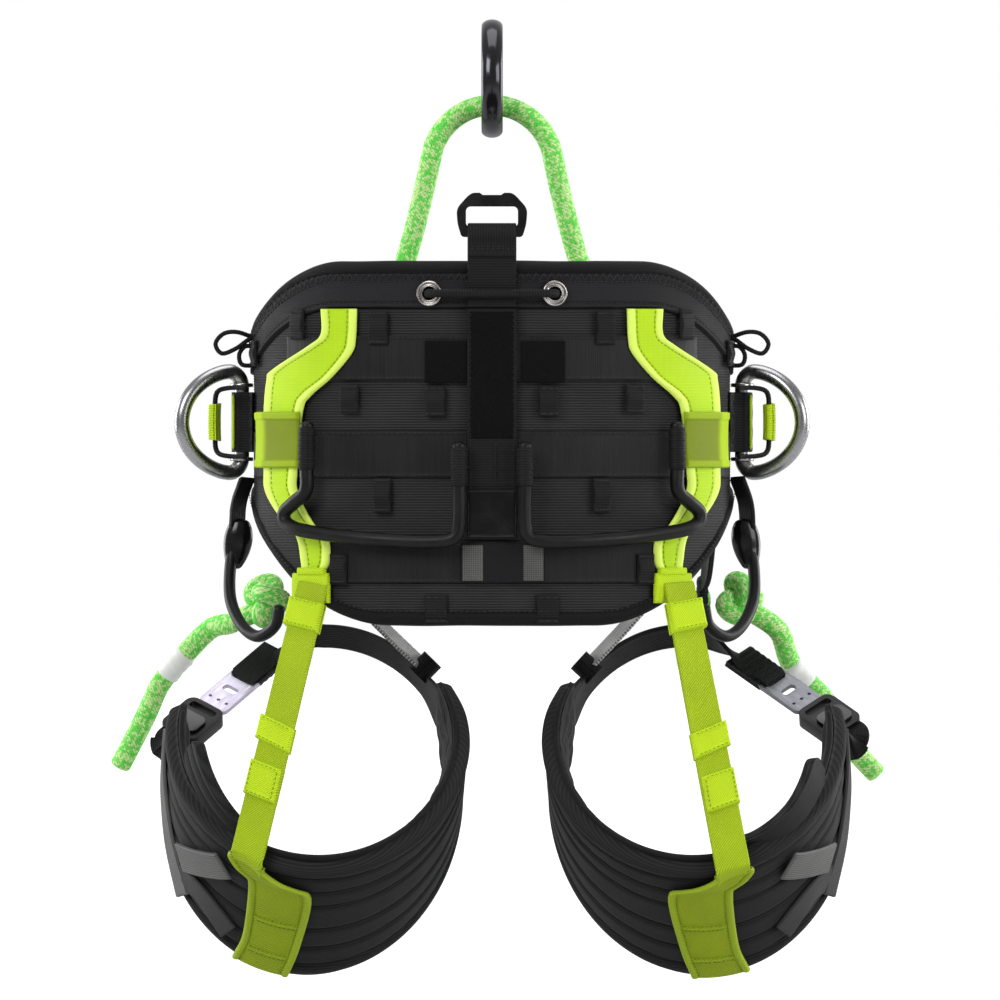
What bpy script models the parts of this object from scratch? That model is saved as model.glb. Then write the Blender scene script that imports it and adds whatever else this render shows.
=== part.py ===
"""Tree climbing saddle: padded waist belt, rope bridge with ring, two leg loops.

Frame: metres, +Z up, +Y towards the wearer's front, +X towards the wearer's right.
The origin is on the outer face of the spine panel, at the height of the side D-rings.
The shapes are worked out round the middle of the waist opening, and an empty named
waist_centre carries them to their place in front of the origin.
"""
from math import acos, cos, degrees, pi, radians, sin

import bmesh
import bpy
from mathutils import Matrix, Vector

# ---- driving dimensions (metres, degrees) ----
WAIST_HALF_WIDTH = 0.131          # inner face of the back pad, along X
WAIST_HALF_DEPTH = 0.104          # inner face of the back pad, behind the waist's middle
FRONT_HALF_DEPTH = 0.090          # inner face of the front webbing line
PAD_THICK = 0.010
SHELL_THICK = 0.0017
WEB_THICK = 0.0017
GAP = 0.0004
SLANT_GAP = 0.0009                # under straps whose edges cross the stations
BELT_STEP = 7.5                   # station spacing round the belt
BELT_TOP = 0.096
BELT_TOP_DROP = 0.040             # how far the rim drops towards the hips
BELT_BOTTOM = -0.122
BELT_BOTTOM_RISE = 0.078          # how far the lower edge rises towards the hips
RIM_HEIGHT = 0.0115               # the height the rolled rims take from the pad
ROLL_HALF = 0.0052
FACING_HEIGHT = 0.0285            # from the rim's crest to the facing's lower edge
PAD_REACH = 97.5                  # the pad ends just past the hips
SHELL_REACH = 90.0
SPINE_HALF = 0.0150               # half width of the spine strap and panel
SPINE_LOOP_Z = 0.1140
EYELET_X = 0.0372
EYELET_Z = 0.0765
ELASTIC_RADIUS = 0.0025
BELT_WRAP_X = (0.1150, 0.1405)
BELT_WRAP_Z = (-0.0275, 0.0060)
BACK_GEAR_RADIUS = 0.0042
SIDE_GEAR_RADIUS = 0.0036
WAIST_STRAP_HALF = 0.0215
WAIST_STRAP_THICK = 0.0024
BUCKLE_THICK = 0.0030

LEG_HALF_WIDTH = 0.0775           # inner face of a leg loop
LEG_HALF_LENGTH = 0.113
LEG_PITCH = radians(48.0)         # the loops' planes rise towards the front
LEG_LEAN = radians(5.0)
LEG_SPREAD = 0.1145               # loop centres either side of the loops' middle
LEG_DRIFT = 0.0083                # the hanging loops sit slightly to the right
LEG_CENTRE_Y = 0.005
LEG_CENTRE_Z = -0.208
LEG_PAD_WIDTH = 0.104
LEG_PAD_THICK = 0.012
LEG_STEP = 8.0

RING_RADIUS = 0.0295
RING_BAR = 0.0065
ROPE_RADIUS = 0.00625
ROPE_CREST_RADIUS = 0.0372
ROPE_CREST_Z = 0.1550
ROPE_PLANE_Y = 0.115
ANCHOR_Y = 0.070
ANCHOR_Z = -0.107
D_BAR_X = 0.1505
D_BAR_Y = 0.004
D_BAR_RADIUS = 0.0045
D_HALF_HEIGHT = 0.0235            # half length of the straight bar
D_YAW = 25.0
KNOT_RADIUS = 0.0145
ANCHOR_THICK = 0.0030
RISER_HALF = 0.0115
FRONT_STRAP_HALF = 0.0095         # half width of the leg loops' front webbing
RISER_THICK = 0.0018
LINK_THICK = 0.0022

SIDES = {"left": -1, "right": 1}

COLLECTION = "tree_climbing_saddle"
CUTTERS = "cutters"


# ---- scene, materials and basic builders ----
def clear_scene():
    for obj in list(bpy.data.objects):
        bpy.data.objects.remove(obj)


def material(name, colour, roughness, metallic=0.0):
    shader = bpy.data.materials.get(name)
    if shader is None:
        shader = bpy.data.materials.new(name)
        shader.use_nodes = True
        principled = shader.node_tree.nodes["Principled BSDF"]
        principled.inputs["Base Color"].default_value = (*colour, 1.0)
        principled.inputs["Roughness"].default_value = roughness
        principled.inputs["Metallic"].default_value = metallic
    return shader


def black_fabric():
    return material("black_fabric", (0.020, 0.020, 0.022), 0.85)


def black_webbing():
    return material("black_webbing", (0.026, 0.026, 0.028), 0.75)


def grey_webbing():
    return material("grey_webbing", (0.10, 0.10, 0.10), 0.80)


def lime_webbing():
    return material("lime_webbing", (0.45, 0.68, 0.03), 0.70)


def green_rope():
    return material("green_rope", (0.12, 0.65, 0.07), 0.80)


def black_plastic():
    return material("black_plastic", (0.018, 0.018, 0.019), 0.35)


def polished_aluminium():
    return material("polished_aluminium", (0.80, 0.80, 0.82), 0.18, 1.0)


def black_anodised():
    return material("black_anodised", (0.020, 0.020, 0.022), 0.22, 0.7)


def add_mesh(name, mesh, shader, location=(0, 0, 0)):
    obj = bpy.data.objects.new(name, mesh)
    obj.location = location
    mesh.materials.clear()
    mesh.materials.append(shader)
    bpy.data.collections[COLLECTION].objects.link(obj)
    return obj


def mesh_from(name, points, faces):
    mesh = bpy.data.meshes.new(name)
    mesh.from_pydata([tuple(point) for point in points], [], faces)
    mesh.update()
    return mesh


def shift_to_pivot(obj, pivot):
    """Move the object's origin to its joint's pivot and keep its mesh in place."""
    if pivot is not None:
        obj.data.transform(Matrix.Translation(-Vector(pivot)))
        obj.location = pivot
    return obj


def take_primitive(name, collection):
    """Name the primitive just added and move it to its own collection."""
    obj = bpy.context.object
    obj.name = name
    for group in list(obj.users_collection):
        group.objects.unlink(obj)
    bpy.data.collections[collection].objects.link(obj)
    return obj


def sheet(name, rows, thickness, shader, pivot=None):
    """An open surface made thick on its outer side; rows run along the piece."""
    across = len(rows[0])
    points = [point for row in rows for point in row]
    faces = []
    for i in range(len(rows) - 1):
        for j in range(across - 1):
            first = i * across + j
            faces.append((first, first + across, first + across + 1, first + 1))
    obj = add_mesh(name, mesh_from(name, points, faces), shader)
    shift_to_pivot(obj, pivot)
    solid = obj.modifiers.new("thickness", "SOLIDIFY")
    solid.thickness = thickness
    solid.offset = 1.0
    solid.use_even_offset = True
    obj.data.shade_smooth()
    return obj


def loft(name, sections, shader, pivot=None):
    """A closed body through matching closed sections, with flat ends."""
    count = len(sections[0])
    points = [point for section in sections for point in section]
    faces = []
    for i in range(len(sections) - 1):
        for j in range(count):
            a = i * count + j
            b = i * count + (j + 1) % count
            faces.append((a, b, b + count, a + count))
    last = (len(sections) - 1) * count
    faces.append(tuple(reversed(range(count))))
    faces.append(tuple(range(last, last + count)))
    mesh = mesh_from(name, points, faces)
    work = bmesh.new()
    work.from_mesh(mesh)
    bmesh.ops.recalc_face_normals(work, faces=work.faces)
    work.to_mesh(mesh)
    work.free()
    obj = add_mesh(name, mesh, shader)
    return shift_to_pivot(obj, pivot)


def tube(name, path, radius, shader, closed=False, pivot=None, sides=2):
    """A round bar along a path of points."""
    start = Vector(pivot) if pivot is not None else Vector((0, 0, 0))
    curve = bpy.data.curves.new(name, "CURVE")
    curve.dimensions = "3D"
    curve.bevel_depth = radius
    curve.bevel_resolution = sides
    curve.use_fill_caps = True
    curve.twist_mode = "MINIMUM"
    spline = curve.splines.new("POLY")
    spline.points.add(len(path) - 1)
    for target, point in zip(spline.points, path):
        target.co = (*(Vector(point) - start), 1.0)
    spline.use_cyclic_u = closed
    curve.materials.append(shader)
    obj = bpy.data.objects.new(name, curve)
    obj.location = start
    bpy.data.collections[COLLECTION].objects.link(obj)
    return obj


def plate(name, outlines, thickness, matrix, shader, bevel=0.0):
    """A flat plate from closed outlines in its own plane; the later ones are holes."""
    curve = bpy.data.curves.new(name, "CURVE")
    curve.dimensions = "2D"
    curve.fill_mode = "BOTH"
    curve.extrude = thickness / 2.0
    for outline in outlines:
        spline = curve.splines.new("POLY")
        spline.points.add(len(outline) - 1)
        for target, (x, y) in zip(spline.points, outline):
            target.co = (x, y, 0.0, 1.0)
        spline.use_cyclic_u = True
    curve.materials.append(shader)
    obj = bpy.data.objects.new(name, curve)
    obj.matrix_world = matrix
    bpy.data.collections[COLLECTION].objects.link(obj)
    if bevel > 0.0:
        weld = obj.modifiers.new("weld", "WELD")
        weld.merge_threshold = 0.00005
        edge = obj.modifiers.new("edges", "BEVEL")
        edge.width = bevel
        edge.segments = 1
        edge.limit_method = "ANGLE"
        edge.angle_limit = radians(50.0)
    return obj


def turned(name, profile, steps, matrix, shader):
    """A body turned about its own Z axis from a closed profile at +X."""
    count = len(profile)
    edges = [(i, (i + 1) % count) for i in range(count)]
    mesh = bpy.data.meshes.new(name)
    mesh.from_pydata([(x, 0.0, z) for x, z in profile], edges, [])
    obj = add_mesh(name, mesh, shader)
    obj.matrix_world = matrix
    screw = obj.modifiers.new("turn", "SCREW")
    screw.steps = steps
    screw.render_steps = steps
    screw.use_merge_vertices = True
    screw.merge_threshold = 0.00005
    return obj


def smooth_path(controls, pieces):
    """Points of a Catmull-Rom curve through the controls."""
    points = [Vector(control) for control in controls]
    padded = [2 * points[0] - points[1], *points, 2 * points[-1] - points[-2]]
    path = []
    for i in range(1, len(padded) - 2):
        p0, p1, p2, p3 = padded[i - 1:i + 3]
        for k in range(pieces):
            t = k / pieces
            path.append(0.5 * ((2 * p1) + (p2 - p0) * t
                               + (2 * p0 - 5 * p1 + 4 * p2 - p3) * t * t
                               + (3 * p1 - p0 - 3 * p2 + p3) * t ** 3))
    path.append(points[-1])
    return path


def rounded_rectangle(width, height, radius, segments=4, centre=(0.0, 0.0)):
    outline = []
    corners = ((1, 1, 0), (-1, 1, 90), (-1, -1, 180), (1, -1, 270))
    for sx, sy, start in corners:
        cx = centre[0] + sx * (width / 2 - radius)
        cy = centre[1] + sy * (height / 2 - radius)
        for k in range(segments + 1):
            angle = radians(start + 90.0 * k / segments)
            outline.append((cx + radius * cos(angle), cy + radius * sin(angle)))
    return outline


# ---- the belt's curved surface ----
def belt_point(angle, height, offset):
    """A point round the waist: angle in degrees from the middle of the back."""
    turn = radians(angle)
    depth = WAIST_HALF_DEPTH if abs(angle) <= 90.0 else FRONT_HALF_DEPTH
    return Vector(((WAIST_HALF_WIDTH + offset) * sin(turn), -(depth + offset) * cos(turn), height))


def belt_angle(x, offset):
    """The angle at which the belt's surface reaches x, on the back half."""
    return degrees(pi / 2 - acos(max(-1.0, min(1.0, x / (WAIST_HALF_WIDTH + offset)))))


def stations(start, end, step=BELT_STEP):
    """Shared station angles between two limits, so that stacked layers nest."""
    inner = []
    k = int(start // step) - 1
    while k * step < end:
        if start + 0.25 * step < k * step < end - 0.25 * step:
            inner.append(k * step)
        k += 1
    return [start, *inner, end]


def eased(value, low, high):
    t = max(0.0, min(1.0, (value - low) / (high - low)))
    return t * t * (3 - 2 * t)


def belt_top(angle):
    """The rim drops towards the hips."""
    return BELT_TOP - BELT_TOP_DROP * eased(abs(angle), 40.0, 96.0)


def belt_bottom(angle):
    """The lower edge rises towards the hips."""
    return BELT_BOTTOM + BELT_BOTTOM_RISE * eased(abs(angle), 26.0, 104.0)


def belt_band(name, start, end, low, high, offset, thickness, shader):
    """A band on the belt between two height functions of the angle."""
    rows = []
    for angle in stations(start, end):
        rows.append([belt_point(angle, low(angle), offset), belt_point(angle, high(angle), offset)])
    return sheet(name, rows, thickness, shader)


SHELL_OFFSET = PAD_THICK + GAP
WEB_OFFSET = SHELL_OFFSET + SHELL_THICK + GAP
STRAP_OFFSET = WEB_OFFSET + WEB_THICK + SLANT_GAP
WRAP_OFFSET = STRAP_OFFSET + WEB_THICK + SLANT_GAP
TOP_OFFSET = WRAP_OFFSET + WEB_THICK + GAP


def make_back_pad():
    belt_band("back_pad", -PAD_REACH, PAD_REACH,
              lambda a: belt_bottom(a) + RIM_HEIGHT, lambda a: belt_top(a) - RIM_HEIGHT,
              0.0, PAD_THICK, black_fabric())


def make_outer_shell():
    belt_band("outer_shell", -SHELL_REACH, SHELL_REACH,
              lambda a: belt_bottom(a) + RIM_HEIGHT, lambda a: belt_top(a) - FACING_HEIGHT,
              SHELL_OFFSET, SHELL_THICK, black_fabric())


def make_top_facing():
    belt_band("top_facing", -PAD_REACH, PAD_REACH,
              lambda a: belt_top(a) - FACING_HEIGHT + 0.0005, lambda a: belt_top(a) - RIM_HEIGHT + 0.0005,
              SHELL_OFFSET, SHELL_THICK + GAP + WEB_THICK, black_fabric())


def roll_section(angle, middle):
    """An eight-sided oval section that closes the pad's edge."""
    centre = (WEB_OFFSET + WEB_THICK) / 2.0
    section = []
    for k in range(8):
        turn = radians(22.5 + 45.0 * k)
        section.append(belt_point(angle, middle + ROLL_HALF * sin(turn) / cos(radians(22.5)),
                                  centre + centre * cos(turn) / cos(radians(22.5))))
    return section


def make_rolls():
    angles = stations(-PAD_REACH, PAD_REACH)
    loft("top_roll", [roll_section(a, belt_top(a) - ROLL_HALF) for a in angles], black_fabric())
    loft("bottom_roll", [roll_section(a, belt_bottom(a) + ROLL_HALF) for a in angles], black_fabric())


def make_webbing_rows():
    """Load-bearing webbing rows sewn across the shell."""
    rows = {"webbing_row_upper": (0.0245, 0.0515, 58.0),
            "webbing_row_middle": (-0.0335, -0.0055, 80.0),
            "webbing_row_lower": (-0.0965, -0.0715, 45.0)}
    for name, (low, high, reach) in rows.items():
        belt_band(name, -reach, reach, lambda a, z=low: z, lambda a, z=high: z,
                  WEB_OFFSET, WEB_THICK, black_webbing())


def make_spine():
    """The spine strap, its hook-and-loop panel and the stiff loop at its top."""
    face = -(WAIST_HALF_DEPTH + STRAP_OFFSET)
    spans = {"spine_strap": (0.0680, 0.1084), "spine_panel": (-0.0700, 0.0675)}
    for name, (low, high) in spans.items():
        rows = [[Vector((x, face, low)), Vector((x, face, high))] for x in (-SPINE_HALF, SPINE_HALF)]
        sheet(name, rows, WEB_THICK, black_webbing())
    outer = [(-0.0125, 0.0225), (0.0125, 0.0225), (0.0212, 0.0130), (0.0200, 0.0040),
             (0.0150, -0.0040), (-0.0150, -0.0040), (-0.0200, 0.0040), (-0.0212, 0.0130)]
    slot = rounded_rectangle(0.0310, 0.0100, 0.003, 3, (0.0, 0.0092))
    pivot = Vector((0.0, face - WEB_THICK / 2, SPINE_LOOP_Z))
    matrix = Matrix.Translation(pivot) @ Matrix.Rotation(radians(90.0), 4, "X")
    plate("strap_loop", [outer, slot], 0.0050, matrix, black_plastic())


def make_eyelets():
    """Two eyelets in the facing and the elastic cord between them."""
    inner = 0.0036
    outer = 0.0078
    base = SHELL_OFFSET + SHELL_THICK + GAP + WEB_THICK + 0.0003
    profile = [(inner, 0.0014), (0.0056, 0.0022), (outer, 0.0010), (outer, 0.0), (inner, 0.0)]
    for side, sign in SIDES.items():
        angle = sign * belt_angle(EYELET_X, base)
        middle = belt_point(angle, EYELET_Z, base + GAP)
        outward = Vector((sin(radians(angle)), -cos(radians(angle)), 0.0))
        matrix = Matrix.Translation(middle) @ outward.to_track_quat("Z", "Y").to_matrix().to_4x4()
        turned("eyelet_" + side, profile, 20, matrix, polished_aluminium())
    reach = belt_angle(EYELET_X, base)
    path = [belt_point(reach * k / 4.0, EYELET_Z, base + 0.0062) for k in range(-4, 5)]
    path.insert(0, belt_point(-reach, EYELET_Z, base + 0.0006))
    path.append(belt_point(reach, EYELET_Z, base + 0.0006))
    tube("elastic_cord", path, ELASTIC_RADIUS, black_webbing())


def subdivided(rows, longest):
    """Extra rows where a strap runs sideways, so that it follows the belt's curve."""
    dense = [rows[0]]
    for before, after in zip(rows, rows[1:]):
        drift = max(abs(after[0] - before[0]), abs(after[1] - before[1]))
        pieces = int(drift / longest) + 1
        for k in range(1, pieces + 1):
            dense.append(tuple(a + (b - a) * k / pieces for a, b in zip(before, after)))
    return dense


def make_belt_straps():
    """The bright load straps that zigzag down the belt, and their wraps."""
    left_edge = [(-0.1020, 0.0675), (-0.1020, 0.0525), (-0.1095, 0.0455), (-0.1315, 0.0310),
                 (-0.1345, 0.0250), (-0.1362, 0.0060), (-0.1362, -0.0280), (-0.1355, -0.0410),
                 (-0.1285, -0.0540), (-0.1170, -0.0680), (-0.1140, -0.0830), (-0.1140, -0.0985)]
    right_edge = [(-0.0805, 0.0675), (-0.0812, 0.0495), (-0.0838, 0.0405), (-0.0955, 0.0265),
                  (-0.1085, 0.0150), (-0.1130, 0.0060), (-0.1162, -0.0280), (-0.1160, -0.0420),
                  (-0.1070, -0.0600), (-0.0975, -0.0710), (-0.0968, -0.0830), (-0.0985, -0.0985)]
    for side, sign in SIDES.items():
        rows = []
        for (xl, zl), (xr, zr) in zip(left_edge, right_edge):
            pair = sorted((-sign * xl, -sign * xr))
            rows.append((pair[0], pair[1], zl if sign < 0 else zr, zr if sign < 0 else zl))
        rows = subdivided(rows, 0.007)
        grid = []
        for k in range(5):
            column = []
            for x_low, x_high, z_low, z_high in reversed(rows):
                x = x_low + (x_high - x_low) * k / 4.0
                z = z_low + (z_high - z_low) * k / 4.0
                column.append(belt_point(belt_angle(x, STRAP_OFFSET), z, STRAP_OFFSET))
            grid.append(column)
        sheet("belt_strap_" + side, grid, WEB_THICK, lime_webbing())
        ends = sorted(sign * belt_angle(x, WRAP_OFFSET) for x in BELT_WRAP_X)
        rows = [[belt_point(a, z, WRAP_OFFSET) for z in BELT_WRAP_Z] for a in stations(*ends)]
        sheet("belt_wrap_" + side, rows, WEB_THICK, lime_webbing())


# ---- gear loops, cords and D-rings ----
def make_back_gear_loops():
    """Stiff tube loops hung across the back, hinged at their two ends."""
    stand = TOP_OFFSET + BACK_GEAR_RADIUS + GAP
    outline = [(0.1106, 0.0000), (0.1108, -0.0260), (0.1112, -0.0410), (0.1180, -0.0480),
               (0.1240, -0.0540), (0.1230, -0.0605), (0.1130, -0.0650), (0.0850, -0.0690),
               (0.0550, -0.0712), (0.0330, -0.0715), (0.0225, -0.0690), (0.0195, -0.0600),
               (0.0195, -0.0350), (0.0195, -0.0120)]
    for side, sign in SIDES.items():
        path = [belt_point(sign * belt_angle(x, stand), z, stand) for x, z in outline]
        pivot = (path[0] + path[-1]) / 2.0
        tube("back_gear_loop_" + side, path, BACK_GEAR_RADIUS, black_plastic(), pivot=pivot, sides=1)


def make_side_gear_loops():
    """Smaller loops under the hips."""
    controls = [(0.1535, -0.004, -0.068), (0.1570, -0.008, -0.085), (0.1570, -0.020, -0.106),
                (0.1500, -0.036, -0.122), (0.1400, -0.050, -0.1285), (0.1300, -0.060, -0.122),
                (0.1270, -0.0665, -0.110)]
    for side, sign in SIDES.items():
        path = smooth_path([(sign * x, y, z) for x, y, z in controls], 2)
        pivot = (Vector(path[0]) + Vector(path[-1])) / 2.0
        tube("side_gear_loop_" + side, path, SIDE_GEAR_RADIUS, black_plastic(), pivot=pivot, sides=1)


def make_d_rings():
    for side, sign in SIDES.items():
        yaw = radians(D_YAW)
        out = Vector((sign * cos(yaw), -sin(yaw), 0.0))
        bar = Vector((sign * D_BAR_X, D_BAR_Y, 0.0))
        path = [(0.0, -D_HALF_HEIGHT), (0.0, D_HALF_HEIGHT), (0.0035, 0.0288)]
        for k in range(13):
            turn = radians(78.0 - 13.0 * k)
            path.append((0.0020 + 0.0375 * cos(turn), 0.0311 * sin(turn)))
        path.append((0.0035, -0.0288))
        points = [bar + out * u + Vector((0, 0, v)) for u, v in path]
        tube("d_ring_" + side, points, D_BAR_RADIUS, polished_aluminium(), closed=True, pivot=bar)


def make_d_ring_keepers():
    """Webbing folded round each D-ring's straight bar and sewn to the belt."""
    clear = D_BAR_RADIUS + 0.0006
    root = WAIST_HALF_WIDTH + WEB_OFFSET - D_BAR_X
    for side, sign in SIDES.items():
        profile = [(root, -0.0200), (root + 0.0010, -0.0085)]
        for k in range(9):
            turn = radians(-100.0 + 25.0 * k)
            profile.append((clear * cos(turn), clear * sin(turn)))
        profile += [(root + 0.0010, 0.0085), (root, 0.0180)]
        half = 0.0185
        rows = []
        for u, v in profile:
            x = sign * (D_BAR_X + u)
            y = D_BAR_Y + v
            rows.append([Vector((x, y, -half)), Vector((x, y, half))])
        if sign < 0:
            rows.reverse()
        sheet("d_ring_keeper_" + side, rows, WEB_THICK, black_webbing())


def make_cords():
    """The sleeved cord through each D-ring and the small cord loop above it."""
    for side, sign in SIDES.items():
        loop = [(0.1475, -0.0235, 0.0205), (0.1580, -0.0140, 0.0205), (0.1650, -0.0080, 0.0180),
                (0.1665, -0.0060, 0.0090), (0.1665, -0.0060, -0.0090), (0.1650, -0.0080, -0.0180),
                (0.1580, -0.0140, -0.0205), (0.1475, -0.0235, -0.0205)]
        tube("d_ring_cord_" + side, [(sign * x, y, z) for x, y, z in loop], 0.0015,
             black_webbing(), sides=1)
        small = smooth_path([(0.1475, -0.016, 0.0560), (0.1580, -0.018, 0.0560), (0.1655, -0.018, 0.0500),
                             (0.1600, -0.018, 0.0450), (0.1475, -0.016, 0.0440)], 2)
        tube("accessory_loop_" + side, [(sign * p.x, p.y, p.z) for p in small], 0.0014,
             black_webbing(), sides=1)


# ---- waist closure ----
def make_waist_closure():
    heights = (-WAIST_STRAP_HALF, WAIST_STRAP_HALF)
    for side, sign in SIDES.items():
        ends = sorted((sign * 100.0, sign * 161.0))
        rows = [[belt_point(a, z, 0.0) for z in heights] for a in stations(*ends)]
        sheet("waist_strap_" + side, rows, WAIST_STRAP_THICK, black_webbing())
    face = Matrix.Rotation(radians(-90.0), 4, "X")
    frame_pivot = Vector((0.0385, FRONT_HALF_DEPTH + 0.0002, 0.0))
    frame_outline = rounded_rectangle(0.0560, 0.0580, 0.0060, 4, (-0.0205, 0.0))
    frame_window = rounded_rectangle(0.0240, 0.0450, 0.0030, 3, (-0.0200, 0.0))
    plate("waist_buckle_frame", [frame_outline, frame_window], BUCKLE_THICK,
          Matrix.Translation(frame_pivot) @ face, black_anodised())
    tongue_pivot = frame_pivot + Vector((-0.0770, BUCKLE_THICK + 0.0006, 0.0))
    tongue_outline = rounded_rectangle(0.0560, 0.0420, 0.0050, 4, (0.0205, 0.0))
    tongue_window = rounded_rectangle(0.0100, 0.0320, 0.0025, 3, (0.0340, 0.0))
    plate("waist_buckle_tongue", [tongue_outline, tongue_window], BUCKLE_THICK,
          Matrix.Translation(tongue_pivot) @ face, polished_aluminium())


# ---- rope bridge ----
def anchor_x(sign):
    return sign * 0.1130 if sign < 0 else 0.1270


def rope_path():
    """From the left anchor over the ring's crest to the right anchor."""
    crest = []
    for k in range(-7, 8):
        turn = radians(11.0 * k)
        crest.append(Vector((ROPE_CREST_RADIUS * sin(turn), ROPE_PLANE_Y,
                             ROPE_CREST_Z + ROPE_CREST_RADIUS * cos(turn))))
    legs = {}
    for sign in (-1, 1):
        end = anchor_x(sign)
        controls = [(sign * 0.0363, ROPE_PLANE_Y, 0.1634), (sign * 0.0430, 0.1150, 0.1330),
                    (sign * 0.0530, 0.1145, 0.0960), (sign * 0.0690, 0.1130, 0.0500),
                    (sign * 0.0860, 0.1080, 0.0000), (sign * 0.0985, 0.0960, -0.0500),
                    (end - sign * 0.0220, 0.0820, -0.0830), (end - sign * 0.0165, 0.0742, -0.0985),
                    (end - sign * 0.0080, ANCHOR_Y, ANCHOR_Z), (end + sign * 0.0050, ANCHOR_Y, ANCHOR_Z)]
        legs[sign] = smooth_path(controls, 2)[1:]
    return [*reversed(legs[-1]), *crest, *legs[1]]


def make_bridge():
    pivot = (0.0, ANCHOR_Y, ANCHOR_Z)
    tube("bridge_rope", rope_path(), ROPE_RADIUS, green_rope(), pivot=pivot)
    crest = ROPE_CREST_Z + ROPE_CREST_RADIUS
    middle = Vector((0.0, ROPE_PLANE_Y, crest - ROPE_RADIUS - RING_BAR - 0.0006 + RING_RADIUS))
    flat = 0.0022
    profile = []
    for k in range(8):
        turn = radians(90.0 - 180.0 * k / 7)
        profile.append((RING_RADIUS + flat + (RING_BAR - flat) * cos(turn), RING_BAR * sin(turn)))
    for k in range(8):
        turn = radians(-90.0 - 180.0 * k / 7)
        profile.append((RING_RADIUS - flat + (RING_BAR - flat) * cos(turn), RING_BAR * sin(turn)))
    matrix = Matrix.Translation(middle) @ Matrix.Rotation(radians(90.0), 4, "Y")
    turned("bridge_ring", profile, 32, matrix, black_anodised())


def make_bridge_ends():
    """Anchor straps with sewn eyes, stopper knots and the rope's free tails."""
    tails = {"left": [(-0.1475, 0.0760, -0.1165), (-0.1585, 0.0860, -0.1215), (-0.1690, 0.0980, -0.1240),
                      (-0.1820, 0.1080, -0.1360), (-0.2000, 0.1160, -0.1570), (-0.2085, 0.1190, -0.1750),
                      (-0.2165, 0.1200, -0.1910), (-0.2262, 0.1200, -0.2094)],
             "right": [(0.1655, 0.0760, -0.1180), (0.1720, 0.0860, -0.1275), (0.1800, 0.0980, -0.1440),
                       (0.1900, 0.1080, -0.1555), (0.2030, 0.1150, -0.1700), (0.2180, 0.1190, -0.1960),
                       (0.2340, 0.1200, -0.2142)]}
    for side, sign in SIDES.items():
        eye = Vector((anchor_x(sign), ANCHOR_Y, ANCHOR_Z))
        top = Vector((sign * 0.1325, 0.0320, -0.0160))
        controls = [top, Vector((sign * 0.1340, 0.0400, -0.0500)),
                    Vector((eye.x + sign * 0.0040, 0.0560, -0.0860)), eye + Vector((0.0, -0.0045, 0.0120))]
        rows = []
        for point in smooth_path(controls, 3):
            rows.append([point + Vector((0.0, -0.0090, -0.0070)), point + Vector((0.0, 0.0090, 0.0070))])
        if sign < 0:
            rows.reverse()
        strip = sheet("bridge_anchor_" + side, rows, ANCHOR_THICK, black_webbing())
        bpy.ops.mesh.primitive_torus_add(major_segments=20, minor_segments=8, major_radius=0.0112,
                                         minor_radius=0.0034, location=eye, rotation=(0, radians(90), 0))
        ring = take_primitive("anchor_eye_" + side, CUTTERS)
        ring.hide_render = True
        ring.display_type = "WIRE"
        join = strip.modifiers.new("eye", "BOOLEAN")
        join.operation = "UNION"
        join.object = ring
        middle = eye + Vector((sign * (0.0060 + KNOT_RADIUS), 0.0, 0.0))
        bpy.ops.mesh.primitive_uv_sphere_add(segments=14, ring_count=9, radius=KNOT_RADIUS, location=middle,
                                             rotation=(0, radians(90), 0))
        knot = take_primitive("bridge_knot_" + side, COLLECTION)
        knot.data.materials.append(green_rope())
        path = []
        for point in smooth_path(tails[side], 2):
            if (point - middle).length > KNOT_RADIUS + ROPE_RADIUS * 0.35:
                path.append(point)
        tube("bridge_tail_" + side, path, ROPE_RADIUS, green_rope())


# ---- leg loops ----
def leg_axes(sign):
    """Outward, forward and thigh-axis directions of a leg loop."""
    outward = Vector((sign * cos(LEG_LEAN), 0.0, sin(LEG_LEAN)))
    forward = Vector((-sign * sin(LEG_PITCH) * sin(LEG_LEAN), cos(LEG_PITCH),
                      sin(LEG_PITCH) * cos(LEG_LEAN)))
    thigh = Vector((-sign * cos(LEG_PITCH) * sin(LEG_LEAN), -sin(LEG_PITCH),
                    cos(LEG_PITCH) * cos(LEG_LEAN)))
    return outward, forward, thigh


def leg_centre(sign):
    return Vector((sign * LEG_SPREAD + LEG_DRIFT, LEG_CENTRE_Y, LEG_CENTRE_Z))


def leg_point(sign, angle, across, offset):
    """A point on a leg loop: angle from the rear, positive outwards."""
    outward, forward, thigh = leg_axes(sign)
    turn = radians(angle)
    surface = (LEG_HALF_WIDTH + offset) * sin(turn) * outward
    surface -= (LEG_HALF_LENGTH + offset) * cos(turn) * forward
    return leg_centre(sign) + surface + across * thigh


def leg_width(angle):
    """The pad's width round the loop: widest at the rear."""
    t = min(1.0, abs(angle) / 130.0)
    return 0.026 + (LEG_PAD_WIDTH - 0.026) * (1.0 - t * t)


def leg_band(name, sign, start, end, low, high, offset, thickness, shader, pivot=None):
    """A band on a leg loop between two width functions of the angle."""
    rows = []
    for angle in stations(start, end, LEG_STEP):
        rows.append([leg_point(sign, angle, low(angle), offset),
                     leg_point(sign, angle, high(angle), offset)])
    if sign < 0:
        rows.reverse()
    return sheet(name, rows, thickness, shader, pivot)


RISER_TOP = {"left": Vector((-0.1085, -0.0865, -0.1030)), "right": Vector((0.1130, -0.0845, -0.1030))}
LINK_TOP = {"left": Vector((-0.0880, 0.0660, -0.1010)), "right": Vector((0.1000, 0.0660, -0.1010))}
PATCH_ANGLE = {"left": 21.7, "right": 9.6}


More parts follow.
